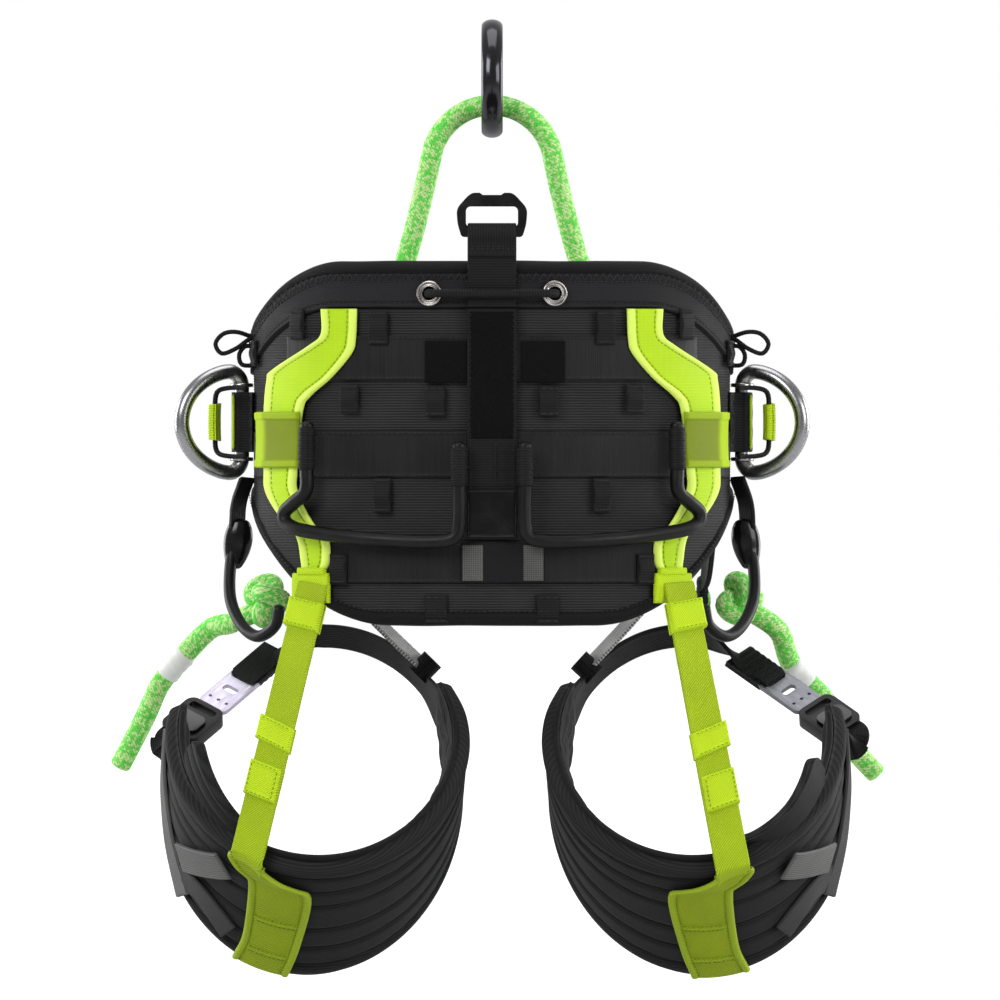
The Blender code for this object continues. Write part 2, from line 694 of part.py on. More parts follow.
def make_leg_pads():
    for side, sign in SIDES.items():
        leg_band("leg_pad_" + side, sign, -124.0, 100.0, lambda a: -leg_width(a) / 2,
                 lambda a: leg_width(a) / 2, 0.0, LEG_PAD_THICK, black_fabric(), RISER_TOP[side])


# Ends of the taut line that carries each leg buckle: angle, across and offset on the loop.
BUCKLE_LINE = {"left": ((98.0, -0.0080, 0.0120), (165.0, -0.0120, 0.0040)),
               "right": ((99.0, -0.0080, 0.0200), (164.0, -0.0170, 0.0040))}
HOUSING_SHARE = 0.12              # where the two buckle parts hinge along that line
TONGUE_SHARE = 0.39


def buckle_frame(side, sign, share):
    """A frame on the buckle line: X along it towards the front, Z facing out and back."""
    start, end = (leg_point(sign, *place) for place in BUCKLE_LINE[side])
    ahead = (end - start).normalized()
    facing = Vector((sign * 0.45, -1.0, 0.30))
    normal = (facing - ahead * facing.dot(ahead)).normalized()
    basis = Matrix((ahead, normal.cross(ahead), normal)).transposed().to_4x4()
    return Matrix.Translation(start.lerp(end, share)) @ basis


def front_strap_rows(side, sign):
    """From the pad's inner end round the front, then straight to the buckle."""
    rows = []
    thigh = leg_axes(sign)[2]
    for angle in reversed(stations(172.0, 235.0, LEG_STEP)):
        across = -0.0040 - 0.0090 * (235.0 - angle) / 63.0
        middle = leg_point(sign, angle, across, 0.0040)
        rows.append([middle - thigh * FRONT_STRAP_HALF, middle + thigh * FRONT_STRAP_HALF])
    for share in (0.90, 0.82, 0.74):
        frame = buckle_frame(side, sign, share)
        turn = min(1.0, (1.0 - share) / 0.30)
        across = frame.to_3x3() @ Vector((0.0, 1.0, 0.0))
        if across.dot(thigh) < 0:
            across.negate()
        way = thigh.lerp(across, turn).normalized()
        middle = frame.translation
        rows.append([middle - way * FRONT_STRAP_HALF, middle + way * FRONT_STRAP_HALF])
    if sign > 0:
        rows.reverse()
    return rows


def make_leg_straps():
    """The webbing that closes each loop at the front, and the outer load strap."""
    outside = LEG_PAD_THICK + GAP
    for side, sign in SIDES.items():
        leg_band("leg_outer_strap_" + side, sign, 52.0, 86.0,
                 lambda a: -leg_width(a) / 2 + 0.003, lambda a: -leg_width(a) / 2 + 0.022,
                 outside, WEB_THICK, grey_webbing(), RISER_TOP[side])
        sheet("leg_front_strap_" + side, front_strap_rows(side, sign), LINK_THICK, black_webbing(),
              RISER_TOP[side])


def make_leg_buckles():
    """Two-part adjusting buckles between the pad's outer end and the front strap."""
    for side, sign in SIDES.items():
        housing = rounded_rectangle(0.0235, 0.0330, 0.0040, 3, (0.0110, 0.0))
        window = rounded_rectangle(0.0060, 0.0240, 0.0020, 2, (0.0165, 0.0))
        plate("leg_buckle_frame_" + side, [housing, window], 0.0060,
              buckle_frame(side, sign, HOUSING_SHARE), black_plastic())
        tongue = rounded_rectangle(0.0330, 0.0280, 0.0050, 4, (0.0160, 0.0))
        slot = rounded_rectangle(0.0070, 0.0200, 0.0025, 3, (0.0200, 0.0))
        plate("leg_buckle_tongue_" + side, [tongue, slot], BUCKLE_THICK,
              buckle_frame(side, sign, TONGUE_SHARE), polished_aluminium())


def riser_rows(side, sign, top, low, spans, half, lift):
    """Rows across a riser: its width turns from the belt's curve to the pad's."""
    belt_way = Vector((0.86, sign * 0.51, 0.0))
    angle = PATCH_ANGLE[side]
    pad_way = leg_point(sign, angle + 1.0, 0.0, 0.0) - leg_point(sign, angle, 0.0, 0.0)
    pad_way = pad_way.normalized() * sign
    rows = []
    for t in spans:
        way = belt_way.lerp(pad_way, t).normalized()
        middle = top.lerp(low, t) + Vector((0.0, lift - 0.0030 * sin(pi * t), 0.0))
        rows.append([middle - way * half, middle + way * half])
    return [[row[0] for row in reversed(rows)], [row[1] for row in reversed(rows)]]


def make_risers():
    """The bright straps from the belt's lower edge to the leg patches."""
    outside = LEG_PAD_THICK + GAP
    for side, sign in SIDES.items():
        top = RISER_TOP[side]
        angle = PATCH_ANGLE[side]
        edge = leg_width(angle) / 2
        low = leg_point(sign, angle, edge + 0.0035, outside + WEB_THICK + 0.0020)
        spans = [0.022, *[k / 8.0 for k in range(1, 9)]]
        grid = riser_rows(side, sign, top, low, spans, RISER_HALF, 0.0)
        sheet("riser_" + side, grid, RISER_THICK, lime_webbing(), top)
        grid = riser_rows(side, sign, top, low, (0.62, 0.70, 0.78), RISER_HALF * 1.15, -0.0026)
        sheet("riser_keeper_" + side, grid, RISER_THICK, lime_webbing(), top)
        make_leg_patch(side, sign, angle, outside)


def make_leg_patch(side, sign, angle, offset):
    """The zigzag reinforcement sewn to the back of a leg pad.

    Each row holds its inner and outer edge, in degrees from the riser, and its height.
    """
    outline = [(-8.7, 8.7, 0.0500), (-9.5, 8.2, 0.0440), (-19.0, 2.0, 0.0340), (-25.0, -0.4, 0.0240),
               (-22.0, 0.3, -0.0200), (-18.5, 4.0, -0.0460)]
    columns = 6
    grid = []
    for k in range(columns + 1):
        column = []
        for inner, outer, across in reversed(subdivided(outline, 5.0)):
            column.append(leg_point(sign, angle + inner + (outer - inner) * k / columns, across,
                                    offset + SLANT_GAP))
        grid.append(column)
    if sign < 0:
        grid.reverse()
    sheet("leg_patch_" + side, grid, WEB_THICK, lime_webbing(), RISER_TOP[side])


def make_front_links():
    """The short webbing links from the anchors to the loops' inner fronts."""
    for side, sign in SIDES.items():
        top = LINK_TOP[side]
        low = leg_point(sign, 224.0, 0.0060, 0.0060)
        start = top + (low - top).normalized() * 0.0035
        half = Vector((0.0, 0.0080, 0.0040))
        rows = [[start.lerp(low, t) - half, start.lerp(low, t) + half] for t in (0.0, 0.5, 1.0)]
        if sign > 0:
            rows.reverse()
        sheet("front_link_" + side, rows, LINK_THICK, grey_webbing(), top)


def place_on_waist_centre():
    """Carry every shape from the waist's middle to its place in front of the origin."""
    centre = bpy.data.objects.new("waist_centre", None)
    centre.location = (0.0, WAIST_HALF_DEPTH + STRAP_OFFSET + WEB_THICK, 0.0)
    bpy.data.collections[COLLECTION].objects.link(centre)
    for obj in list(bpy.data.objects):
        if obj is not centre:
            obj.parent = centre


def main():
    clear_scene()
    for name in (COLLECTION, CUTTERS):
        group = bpy.data.collections.new(name)
        bpy.context.scene.collection.children.link(group)
    make_back_pad()
    make_outer_shell()
    make_top_facing()
    make_rolls()
    make_webbing_rows()
    make_spine()
    make_eyelets()
    make_belt_straps()
    make_back_gear_loops()
    make_side_gear_loops()
    make_d_rings()
    make_d_ring_keepers()
    make_cords()
    make_waist_closure()
    make_bridge()
    make_bridge_ends()
    make_leg_pads()
    make_leg_straps()
    make_leg_buckles()
    make_risers()
    make_front_links()
    place_on_waist_centre()


main()
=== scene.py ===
"""Looks for the tree climbing saddle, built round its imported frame.

Metres, +Z up, +Y towards the wearer's front, +X towards the wearer's right. Thin goods are
sheets laid on one of two curved surfaces, the belt and the leg loops, whose coordinates are
the arc length round the body and the distance across it.
"""
from math import cos, pi, radians, sin

import bmesh
import bpy
import numpy as np
from mathutils import Matrix, Vector


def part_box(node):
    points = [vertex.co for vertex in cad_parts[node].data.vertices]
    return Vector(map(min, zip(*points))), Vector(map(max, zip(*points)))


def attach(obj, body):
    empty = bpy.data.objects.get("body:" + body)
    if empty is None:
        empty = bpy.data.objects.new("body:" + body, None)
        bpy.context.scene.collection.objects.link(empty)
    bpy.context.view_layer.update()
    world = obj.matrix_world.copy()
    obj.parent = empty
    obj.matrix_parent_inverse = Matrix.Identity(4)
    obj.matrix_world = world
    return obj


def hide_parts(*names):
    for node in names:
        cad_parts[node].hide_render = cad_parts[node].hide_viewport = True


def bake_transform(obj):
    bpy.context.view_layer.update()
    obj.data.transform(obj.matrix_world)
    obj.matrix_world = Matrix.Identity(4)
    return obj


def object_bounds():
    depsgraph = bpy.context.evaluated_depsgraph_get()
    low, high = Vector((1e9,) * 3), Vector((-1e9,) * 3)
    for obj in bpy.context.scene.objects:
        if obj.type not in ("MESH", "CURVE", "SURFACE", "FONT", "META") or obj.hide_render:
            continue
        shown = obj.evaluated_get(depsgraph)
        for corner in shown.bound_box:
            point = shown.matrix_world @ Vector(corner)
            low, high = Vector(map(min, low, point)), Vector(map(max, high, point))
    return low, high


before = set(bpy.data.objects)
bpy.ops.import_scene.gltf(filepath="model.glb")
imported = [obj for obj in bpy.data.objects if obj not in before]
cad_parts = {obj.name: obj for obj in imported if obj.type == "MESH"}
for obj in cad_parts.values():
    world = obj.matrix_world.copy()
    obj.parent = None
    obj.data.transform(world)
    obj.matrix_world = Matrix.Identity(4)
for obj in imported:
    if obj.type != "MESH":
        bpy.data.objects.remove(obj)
CAD_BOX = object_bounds()

SIDES = {"left": -1, "right": 1}

# ---- sizes taken from the frame ----
PAD_THICK = 0.010
HALF_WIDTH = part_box("back_pad")[1].x - PAD_THICK
HALF_DEPTH = 0.104
FRONT_DEPTH = 0.090
CENTRE_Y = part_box("back_pad")[0].y + HALF_DEPTH + PAD_THICK
BELT_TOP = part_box("top_roll")[1].z
BELT_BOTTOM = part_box("bottom_roll")[0].z
TOP_DROP = 0.040
BOTTOM_RISE = 0.078
RIM = 0.0115
ROLL_HALF = 0.0052
FACING = 0.0285
SHELL = PAD_THICK + 0.0004
WEB = SHELL + 0.0021
STRAP = WEB + 0.0026
WRAP = STRAP + 0.0026
TOP = WRAP + 0.0021

LEG_HALF_WIDTH = 0.0775
LEG_HALF_LENGTH = 0.113
LEG_PITCH = radians(48.0)
LEG_LEAN = radians(5.0)
LEG_SPREAD = 0.1145
LEG_DRIFT = 0.0083
LEG_Y = CENTRE_Y + 0.005
LEG_Z = -0.208
LEG_PAD_WIDTH = 0.104
LEG_PAD_THICK = 0.012
RISER_TOP = {"left": (-0.1085, CENTRE_Y - 0.0865, -0.1030), "right": (0.1130, CENTRE_Y - 0.0845, -0.1030)}
PATCH_ANGLE = {"left": 21.7, "right": 9.6}
BUCKLE_LINE = {"left": ((98.0, -0.0080, 0.0120), (165.0, -0.0120, 0.0040)),
               "right": ((99.0, -0.0080, 0.0200), (164.0, -0.0170, 0.0040))}
HOUSING_SHARE = 0.12
TONGUE_SHARE = 0.39
ROPE_RADIUS = 0.00625


def srgb(red, green, blue):
    """A display colour, 0 to 255, as the linear values that a shader takes."""
    return tuple(((c / 255.0 + 0.055) / 1.055) ** 2.4 if c > 10 else c / 255.0 / 12.92
                 for c in (red, green, blue))


# ---- materials ----
class Shader:
    """A Principled material, and short calls that add nodes to it."""

    def __init__(self, name, roughness, metallic=0.0, sheen=0.0):
        self.material = bpy.data.materials.new(name)
        self.material.use_nodes = True
        self.tree = self.material.node_tree
        self.surface = self.tree.nodes["Principled BSDF"]
        self.surface.inputs["Roughness"].default_value = roughness
        self.surface.inputs["Metallic"].default_value = metallic
        self.surface.inputs["Sheen Weight"].default_value = sheen
        weave = self.tree.nodes.new("ShaderNodeAttribute")
        weave.attribute_name = "weave"
        self.place = weave.outputs["Vector"]
        split = self.tree.nodes.new("ShaderNodeSeparateXYZ")
        self.tree.links.new(self.place, split.inputs[0])
        self.along = split.outputs[0]
        self.across = split.outputs[1]
        tint = self.tree.nodes.new("ShaderNodeAttribute")
        tint.attribute_name = "tint"
        self.tint = tint.outputs["Fac"]

    def feed(self, socket, value):
        if isinstance(value, bpy.types.NodeSocket):
            self.tree.links.new(value, socket)
        else:
            socket.default_value = value

    def maths(self, operation, *values):
        node = self.tree.nodes.new("ShaderNodeMath")
        node.operation = operation
        for socket, value in zip(node.inputs, values):
            self.feed(socket, value)
        return node.outputs[0]

    def wave(self, value, pitch, phase=0.0):
        """A sine from 0 to 1 with one period for each pitch."""
        turn = self.maths("MULTIPLY_ADD", value, 2 * pi / pitch, phase)
        return self.maths("MULTIPLY_ADD", self.maths("SINE", turn), 0.5, 0.5)

    def noise(self, scale, stretch=(1.0, 1.0, 1.0), detail=3.0, place=None):
        mapping = self.tree.nodes.new("ShaderNodeMapping")
        mapping.inputs["Scale"].default_value = stretch
        self.tree.links.new(place or self.place, mapping.inputs["Vector"])
        node = self.tree.nodes.new("ShaderNodeTexNoise")
        node.inputs["Scale"].default_value = scale
        node.inputs["Detail"].default_value = detail
        self.tree.links.new(mapping.outputs[0], node.inputs["Vector"])
        return node.outputs[0]

    def mapped(self, value, low, high, to_low, to_high):
        node = self.tree.nodes.new("ShaderNodeMapRange")
        for socket, number in zip(node.inputs, (value, low, high, to_low, to_high)):
            self.feed(socket, number)
        return node.outputs[0]

    def mixed(self, factor, first, second):
        node = self.tree.nodes.new("ShaderNodeMix")
        node.data_type = "RGBA"
        self.feed(node.inputs[0], factor)
        for socket, colour in ((node.inputs[6], first), (node.inputs[7], second)):
            self.feed(socket, (*colour, 1.0) if isinstance(colour, tuple) else colour)
        return node.outputs[2]

    def colour(self, value):
        socket = self.surface.inputs["Base Color"]
        self.feed(socket, (*value, 1.0) if isinstance(value, tuple) else value)

    def bump(self, height, distance, strength=1.0):
        node = self.tree.nodes.new("ShaderNodeBump")
        node.inputs["Distance"].default_value = distance
        node.inputs["Strength"].default_value = strength
        self.feed(node.inputs["Height"], height)
        self.tree.links.new(node.outputs[0], self.surface.inputs["Normal"])


def weave_height(shader, kind, pitch):
    """The thread pattern of a cloth, from 0 to 1."""
    if kind == "ribs":
        twist = shader.maths("MULTIPLY_ADD", shader.along, 0.5, shader.across)
        return shader.maths("MULTIPLY_ADD", shader.wave(twist, pitch * 0.5), 0.3,
                            shader.wave(shader.across, pitch))
    if kind == "twill":
        slant = shader.maths("ADD", shader.along, shader.across)
        return shader.maths("MULTIPLY_ADD", shader.wave(shader.across, pitch * 0.55), 0.35,
                            shader.wave(slant, pitch))
    if kind == "warp":
        lines = shader.noise(1.0 / pitch, (1.0, 0.02, 1.0), 2.0)
        return shader.maths("MULTIPLY_ADD", shader.wave(shader.along, pitch), 0.35, lines)
    if kind == "plain":
        return shader.maths("MULTIPLY", shader.wave(shader.along, pitch), shader.wave(shader.across, pitch))
    if kind == "knit":
        rows = shader.wave(shader.maths("ADD", shader.along, shader.across), pitch)
        back = shader.wave(shader.maths("SUBTRACT", shader.along, shader.across), pitch)
        return shader.maths("MULTIPLY", rows, back)
    return shader.noise(1.0 / pitch, detail=6.0)


def cloth(name, dark, light, kind, pitch, depth, roughness=0.8, sheen=0.02, accent=None):
    """A woven material: thread pattern, slow colour drift, and painted highlight and shade on the threads.
    """
    shader = Shader(name, roughness, sheen=sheen)
    shader.surface.inputs["Sheen Roughness"].default_value = 0.4
    shader.surface.inputs["Specular IOR Level"].default_value = 0.15
    height = weave_height(shader, kind, pitch)
    drift = shader.noise(35.0, detail=4.0)
    # Painted highlight and shade: high threads lighter and the gaps between them darker, on top of the slow
    # drift in tone. In the speckled cloth the same contrast is also its real two-tone yarn.
    level = shader.maths("MULTIPLY_ADD", drift, 0.5, shader.maths("MULTIPLY", height, 0.55))
    shade = shader.mixed(shader.mapped(level, 0.15, 0.85, 0.0, 1.0), dark, light)
    if accent is not None:
        shade = shader.mixed(shader.tint, shade, accent)
    shader.colour(shade)
    shader.feed(shader.surface.inputs["Roughness"],
                shader.mapped(drift, 0.3, 0.7, roughness - 0.08, roughness + 0.08))
    fine = shader.noise(3500.0, detail=2.0)
    shader.bump(shader.maths("MULTIPLY_ADD", fine, 0.25, height), depth)
    return shader.material


def moulded(name, colour, roughness, grain=900.0, coat=0.0):
    """Moulded plastic or rubber: fine grain and handling marks."""
    shader = Shader(name, roughness)
    marks = shader.noise(60.0, detail=5.0)
    pale = tuple(min(1.0, c * 1.5 + 0.006) for c in colour)
    shader.colour(shader.mixed(shader.mapped(marks, 0.45, 0.75, 0.0, 0.6), colour, pale))
    shader.feed(shader.surface.inputs["Roughness"], shader.mapped(marks, 0.3, 0.7, roughness - 0.06,
                                                                  roughness + 0.08))
    shader.surface.inputs["Specular IOR Level"].default_value = 0.22 + coat
    shader.surface.inputs["Coat Weight"].default_value = coat
    shader.surface.inputs["Coat Roughness"].default_value = 0.15
    shader.bump(shader.noise(grain, detail=2.0), 0.00006)
    return shader.material


def metal(name, colour, roughness, metallic=1.0, streak=0.05):
    """Turned or polished metal with faint brushing and small scratches."""
    shader = Shader(name, roughness, metallic)
    brushing = shader.noise(900.0, (0.05, 1.0, 1.0), 3.0)
    wear = shader.noise(90.0, detail=6.0)
    dull = tuple(c * 0.78 for c in colour)
    shader.colour(shader.mixed(shader.mapped(wear, 0.5, 0.8, 0.0, 0.7), colour, dull))
    shader.feed(shader.surface.inputs["Roughness"],
                shader.mapped(brushing, 0.3, 0.7, roughness, roughness + streak))
    return shader.material


def rope_material():
    """Braided sheath: green strands with pale flecks, and painted shade: darker between the strands."""
    shader = Shader("green_rope", 0.62, sheen=0.05)
    shader.surface.inputs["Specular IOR Level"].default_value = 0.25
    fleck = shader.tree.nodes.new("ShaderNodeAttribute")
    fleck.attribute_name = "fleck"
    strand = shader.mixed(shader.noise(120.0, detail=2.0), srgb(56, 206, 40), srgb(112, 228, 86))
    strand = shader.mixed(fleck.outputs["Fac"], strand, srgb(208, 238, 160))
    # Painted shade: where the tint is low, in the hollows between the strands, the colour turns dark green.
    shader.colour(shader.mixed(shader.tint, srgb(30, 150, 44), strand))
    fibres = shader.noise(2600.0, (1.0, 0.15, 1.0), 2.0)
    shader.bump(fibres, 0.0001)
    return shader.material


def make_materials():
    lime_edge = srgb(222, 246, 112)
    dull_edge = srgb(158, 182, 48)
    made = {
        "lining": cloth("lining", srgb(22, 22, 24), srgb(42, 42, 45), "knit", 0.0022, 0.0003, 0.9),
        "shell": cloth("shell", srgb(5, 5, 6), srgb(53, 53, 54), "ribs", 0.0016, 0.00020, 0.66),
        "smooth_webbing": cloth("smooth_webbing", srgb(9, 9, 10), srgb(33, 33, 34), "warp", 0.0012,
                                0.00012, 0.5),
        "facing": cloth("facing", srgb(20, 20, 22), srgb(38, 38, 40), "ribs", 0.0011, 0.00008, 0.7),
        "binding": cloth("binding", srgb(8, 8, 9), srgb(24, 24, 25), "twill", 0.0014, 0.00012, 0.75),
        "pad_cloth": cloth("pad_cloth", srgb(12, 12, 13), srgb(38, 38, 39), "ribs", 0.0011, 0.0001, 0.7),
        "black_webbing": cloth("black_webbing", srgb(6, 6, 7), srgb(28, 28, 29), "ribs", 0.0016,
                               0.00016, 0.6),
        "hook_and_loop": cloth("hook_and_loop", srgb(3, 3, 4), srgb(17, 17, 18), "fuzz", 0.0009,
                               0.0004, 0.95),
        "grey_webbing": cloth("grey_webbing", srgb(64, 64, 64), srgb(108, 108, 107), "ribs", 0.0014,
                              0.00015, 0.7),
        "dark_grey_webbing": cloth("dark_grey_webbing", srgb(30, 30, 31), srgb(62, 62, 63), "twill", 0.0012,
                                   0.0001, 0.65),
        "speckled": cloth("speckled", srgb(62, 62, 62), srgb(215, 215, 215), "knit", 0.0021, 0.0002, 0.75),
        "reflective": cloth("reflective", srgb(62, 62, 60), srgb(108, 108, 105), "plain", 0.0013,
                            0.0001, 0.45),
        "lime_strap": cloth("lime_strap", srgb(166, 205, 22), srgb(199, 234, 40), "plain", 0.0009, 0.00008,
                            0.6, accent=lime_edge),
        "lime_wrap": cloth("lime_wrap", srgb(92, 110, 10), srgb(134, 152, 24), "twill", 0.0013,
                           0.0001, 0.65, accent=srgb(176, 208, 30)),
        "lime_riser": cloth("lime_riser", srgb(128, 152, 16), srgb(172, 198, 34), "twill", 0.0017,
                            0.0002, 0.7, accent=dull_edge),
        "lime_keeper": cloth("lime_keeper", srgb(158, 188, 20), srgb(196, 228, 38), "twill", 0.0015,
                             0.00014, 0.7),
        "lime_patch": cloth("lime_patch", srgb(108, 126, 16), srgb(154, 174, 32), "twill", 0.0017,
                            0.0002, 0.7, accent=dull_edge),
        "lime_thread": cloth("lime_thread", srgb(92, 116, 12), srgb(138, 166, 26), "plain", 0.0008,
                             0.00004, 0.6),
        "black_thread": cloth("black_thread", srgb(26, 26, 28), srgb(60, 60, 63), "plain", 0.0008,
                              0.00004, 0.5),
        "pale_tape": cloth("pale_tape", srgb(215, 218, 212), srgb(246, 247, 244), "plain", 0.0010,
                           0.00006, 0.5),
        "black": cloth("black", srgb(16, 16, 18), srgb(32, 32, 34), "plain", 0.0012, 0.0001, 0.75),
        "rope": rope_material(),
        "plastic": moulded("plastic", srgb(11, 11, 12), 0.34),
        "rubber": moulded("rubber", srgb(12, 12, 13), 0.42, 1400.0),
        "gloss": moulded("gloss", srgb(8, 8, 9), 0.20, 300.0, 0.12),
        "polished": metal("polished", (0.34, 0.34, 0.35), 0.26),
        "nickel": metal("nickel", (0.40, 0.38, 0.36), 0.24),
        "lilac_steel": metal("lilac_steel", srgb(186, 180, 198), 0.34, 1.0, 0.12),
        "dark_steel": metal("dark_steel", srgb(110, 110, 116), 0.30, 1.0, 0.1),
        "anodised": metal("anodised", srgb(62, 62, 66), 0.14, 0.85, 0.06),
    }
    return made


MATERIAL = make_materials()


# ---- meshes ----
def build(name, points, faces, shader, weave=None, tint=None):
    """A smooth-shaded mesh object with its cloth coordinates and tint."""
    mesh = bpy.data.meshes.new(name)
    mesh.from_pydata(np.asarray(points, float).reshape(-1, 3).tolist(), [], faces)
    mesh.update()
    if weave is not None:
        layer = mesh.attributes.new("weave", "FLOAT_VECTOR", "POINT")
        layer.data.foreach_set("vector", np.asarray(weave, np.float32).ravel())
    if tint is not None:
        layer = mesh.attributes.new("tint", "FLOAT", "POINT")
        layer.data.foreach_set("value", np.asarray(tint, np.float32).ravel())
    mesh.materials.append(MATERIAL[shader])
    mesh.shade_smooth()
    obj = bpy.data.objects.new(name, mesh)
    bpy.context.scene.collection.objects.link(obj)
    return obj


def place(obj, body, slot, *nodes):
    """Put a piece on its body and hide the CAD nodes it stands for; the slot argument is not used."""
    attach(obj, body)
    if nodes:
        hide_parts(*nodes)
    return obj


def grid_faces(rows, columns, start=0, flip=False, closed=False):
    faces = []
    for i in range(rows - 1):
        for j in range(columns if closed else columns - 1):
            a = start + i * columns + j
            b = start + i * columns + (j + 1) % columns
            face = (a, b, b + columns, a + columns)
            faces.append(face[::-1] if flip else face)
    return faces


def smoothstep(value, low, high):
    t = np.clip((value - low) / (high - low), 0.0, 1.0)
    return t * t * (3 - 2 * t)


def spread(low, high, count, near=0.0008):
    """Values from low to high, with extra ones close to both ends."""
    inner = np.linspace(low + near, high - near, count)
    edge = near * np.array([0.0, 0.12, 0.35, 0.65])
    return np.concatenate([low + edge, inner, high - edge[::-1]])


def edge_distance(U, V):
    """How far each point of a sheet is from its nearest edge."""
    across = np.minimum(np.abs(V - V[:, :1]), np.abs(V[:, -1:] - V))
    along = np.minimum(np.abs(U - U[:1]), np.abs(U[-1:] - U))
    return np.minimum(across, along)


def sheet(name, surface, U, V, base, thick, shader, relief=0.0, edge=None, tint=None, rounding=0.0008):
    """A closed sheet on a surface, with rounded edges and a relief on its outer face."""
    if edge is None:
        edge = edge_distance(U, V)
    t = np.clip(edge / rounding, 0.0, 1.0)
    full = 0.3 + 0.7 * np.sqrt(1 - (1 - t) ** 2)
    outer = surface(U, V, base + thick * full + relief * smoothstep(edge, 0.0, rounding))
    inner = surface(U, V, np.full_like(U, base))
    rows, columns = U.shape
    middle = (rows // 2, columns // 2)
    here = outer[middle]
    normal = np.cross(outer[middle[0] + 1, middle[1]] - here, outer[middle[0], middle[1] + 1] - here)
    flip = bool(np.dot(normal, here - inner[middle]) > 0)
    faces = grid_faces(rows, columns, 0, flip)
    count = rows * columns
    faces += grid_faces(rows, columns, count, not flip)
    ring = [i * columns for i in range(rows)] + [(rows - 1) * columns + j for j in range(1, columns)]
    ring += [i * columns + columns - 1 for i in range(rows - 2, -1, -1)]
    ring += [j for j in range(columns - 2, 0, -1)]
    for a, b in zip(ring, ring[1:] + ring[:1]):
        face = (a, b, b + count, a + count)
        faces.append(face if flip else face[::-1])
    weave = np.stack([U, V, np.zeros_like(U)], -1).reshape(-1, 3)
    tints = np.zeros_like(U) if tint is None else tint
    return build(name, np.concatenate([outer.reshape(-1, 3), inner.reshape(-1, 3)]), faces, shader,
                 np.concatenate([weave, weave]), np.concatenate([tints.ravel(), tints.ravel()]))


def resample(points, spacing, closed=False):
    """Even points along a Catmull-Rom curve through the given ones."""
    points = np.asarray(points, float)
    if closed:
        padded = np.concatenate([points[-1:], points, points[:2]])
    else:
        padded = np.concatenate([2 * points[:1] - points[1:2], points, 2 * points[-1:] - points[-2:-1]])
    dense = []
    steps = np.linspace(0.0, 1.0, 16, endpoint=False)[:, None]
    for p0, p1, p2, p3 in zip(padded, padded[1:], padded[2:], padded[3:]):
        dense.append(0.5 * (2 * p1 + (p2 - p0) * steps + (2 * p0 - 5 * p1 + 4 * p2 - p3) * steps ** 2
                            + (3 * p1 - p0 - 3 * p2 + p3) * steps ** 3))
    dense = np.concatenate([*dense, points[:1] if closed else points[-1:]])
    length = np.concatenate([[0.0], np.cumsum(np.linalg.norm(np.diff(dense, axis=0), axis=1))])
    count = max(3, int(round(length[-1] / spacing)) + 1)
    at = np.linspace(0.0, length[-1], count)
    even = np.stack([np.interp(at, length, dense[:, k]) for k in range(dense.shape[1])], -1)
    return even[:-1] if closed else even


def path_frames(path, closed=False):
    """Two directions square to a path at each of its points, without twist."""
    ahead = np.roll(path, -1, 0) - np.roll(path, 1, 0) if closed else np.gradient(path, axis=0)
    ahead /= np.linalg.norm(ahead, axis=1)[:, None]
    seed = np.array([0.0, 0.0, 1.0]) if abs(ahead[0][2]) < 0.9 else np.array([1.0, 0.0, 0.0])
    side = np.cross(ahead[0], seed)
    sides = []
    for direction in ahead:
        side = side - direction * np.dot(side, direction)
        side /= np.linalg.norm(side)
        sides.append(side)
    sides = np.array(sides)
    return sides, np.cross(ahead, sides)


def pipe(name, path, radius, shader, count=20, closed=False, relief=None, oval=1.0, round_ends=True):
    """A round bar along a path. Relief maps turn and length to a height."""
    sides, ups = path_frames(path, closed)
    length = np.concatenate([[0.0], np.cumsum(np.linalg.norm(np.diff(path, axis=0), axis=1))])
    turn = np.linspace(0.0, 2 * pi, count, endpoint=False)
    T, S = np.meshgrid(turn, length)
    radii = np.repeat(np.broadcast_to(radius, len(path)).astype(float)[:, None], count, 1)
    if relief is not None:
        radii = radii + relief(T, S)
    if round_ends and not closed:
        reach = radii.mean() * 0.5
        ends = np.minimum(S, S[-1:] - S)
        radii = radii * (0.35 + 0.65 * np.sqrt(1 - (1 - np.clip(ends / reach, 0.0, 1.0)) ** 2))
    ring = np.cos(T)[..., None] * sides[:, None] + oval * np.sin(T)[..., None] * ups[:, None]
    points = (path[:, None] + radii[..., None] * ring).reshape(-1, 3)
    rows = len(path)
    faces = grid_faces(rows, count, 0, True, True)
    if closed:
        last = (rows - 1) * count
        faces += [(last + j, j, (j + 1) % count, last + (j + 1) % count) for j in range(count)]
    else:
        faces.append(tuple(range(count)))
        faces.append(tuple(range(len(points) - 1, len(points) - 1 - count, -1)))
    weave = np.stack([radii.mean() * T, S, np.zeros_like(T)], -1)
    obj = build(name, points, faces, shader, weave, np.zeros_like(T))
    make_outward(obj)
    return obj, T, S


def make_outward(obj):
    work = bmesh.new()
    work.from_mesh(obj.data)
    bmesh.ops.recalc_face_normals(work, faces=work.faces)
    work.to_mesh(obj.data)
    work.free()


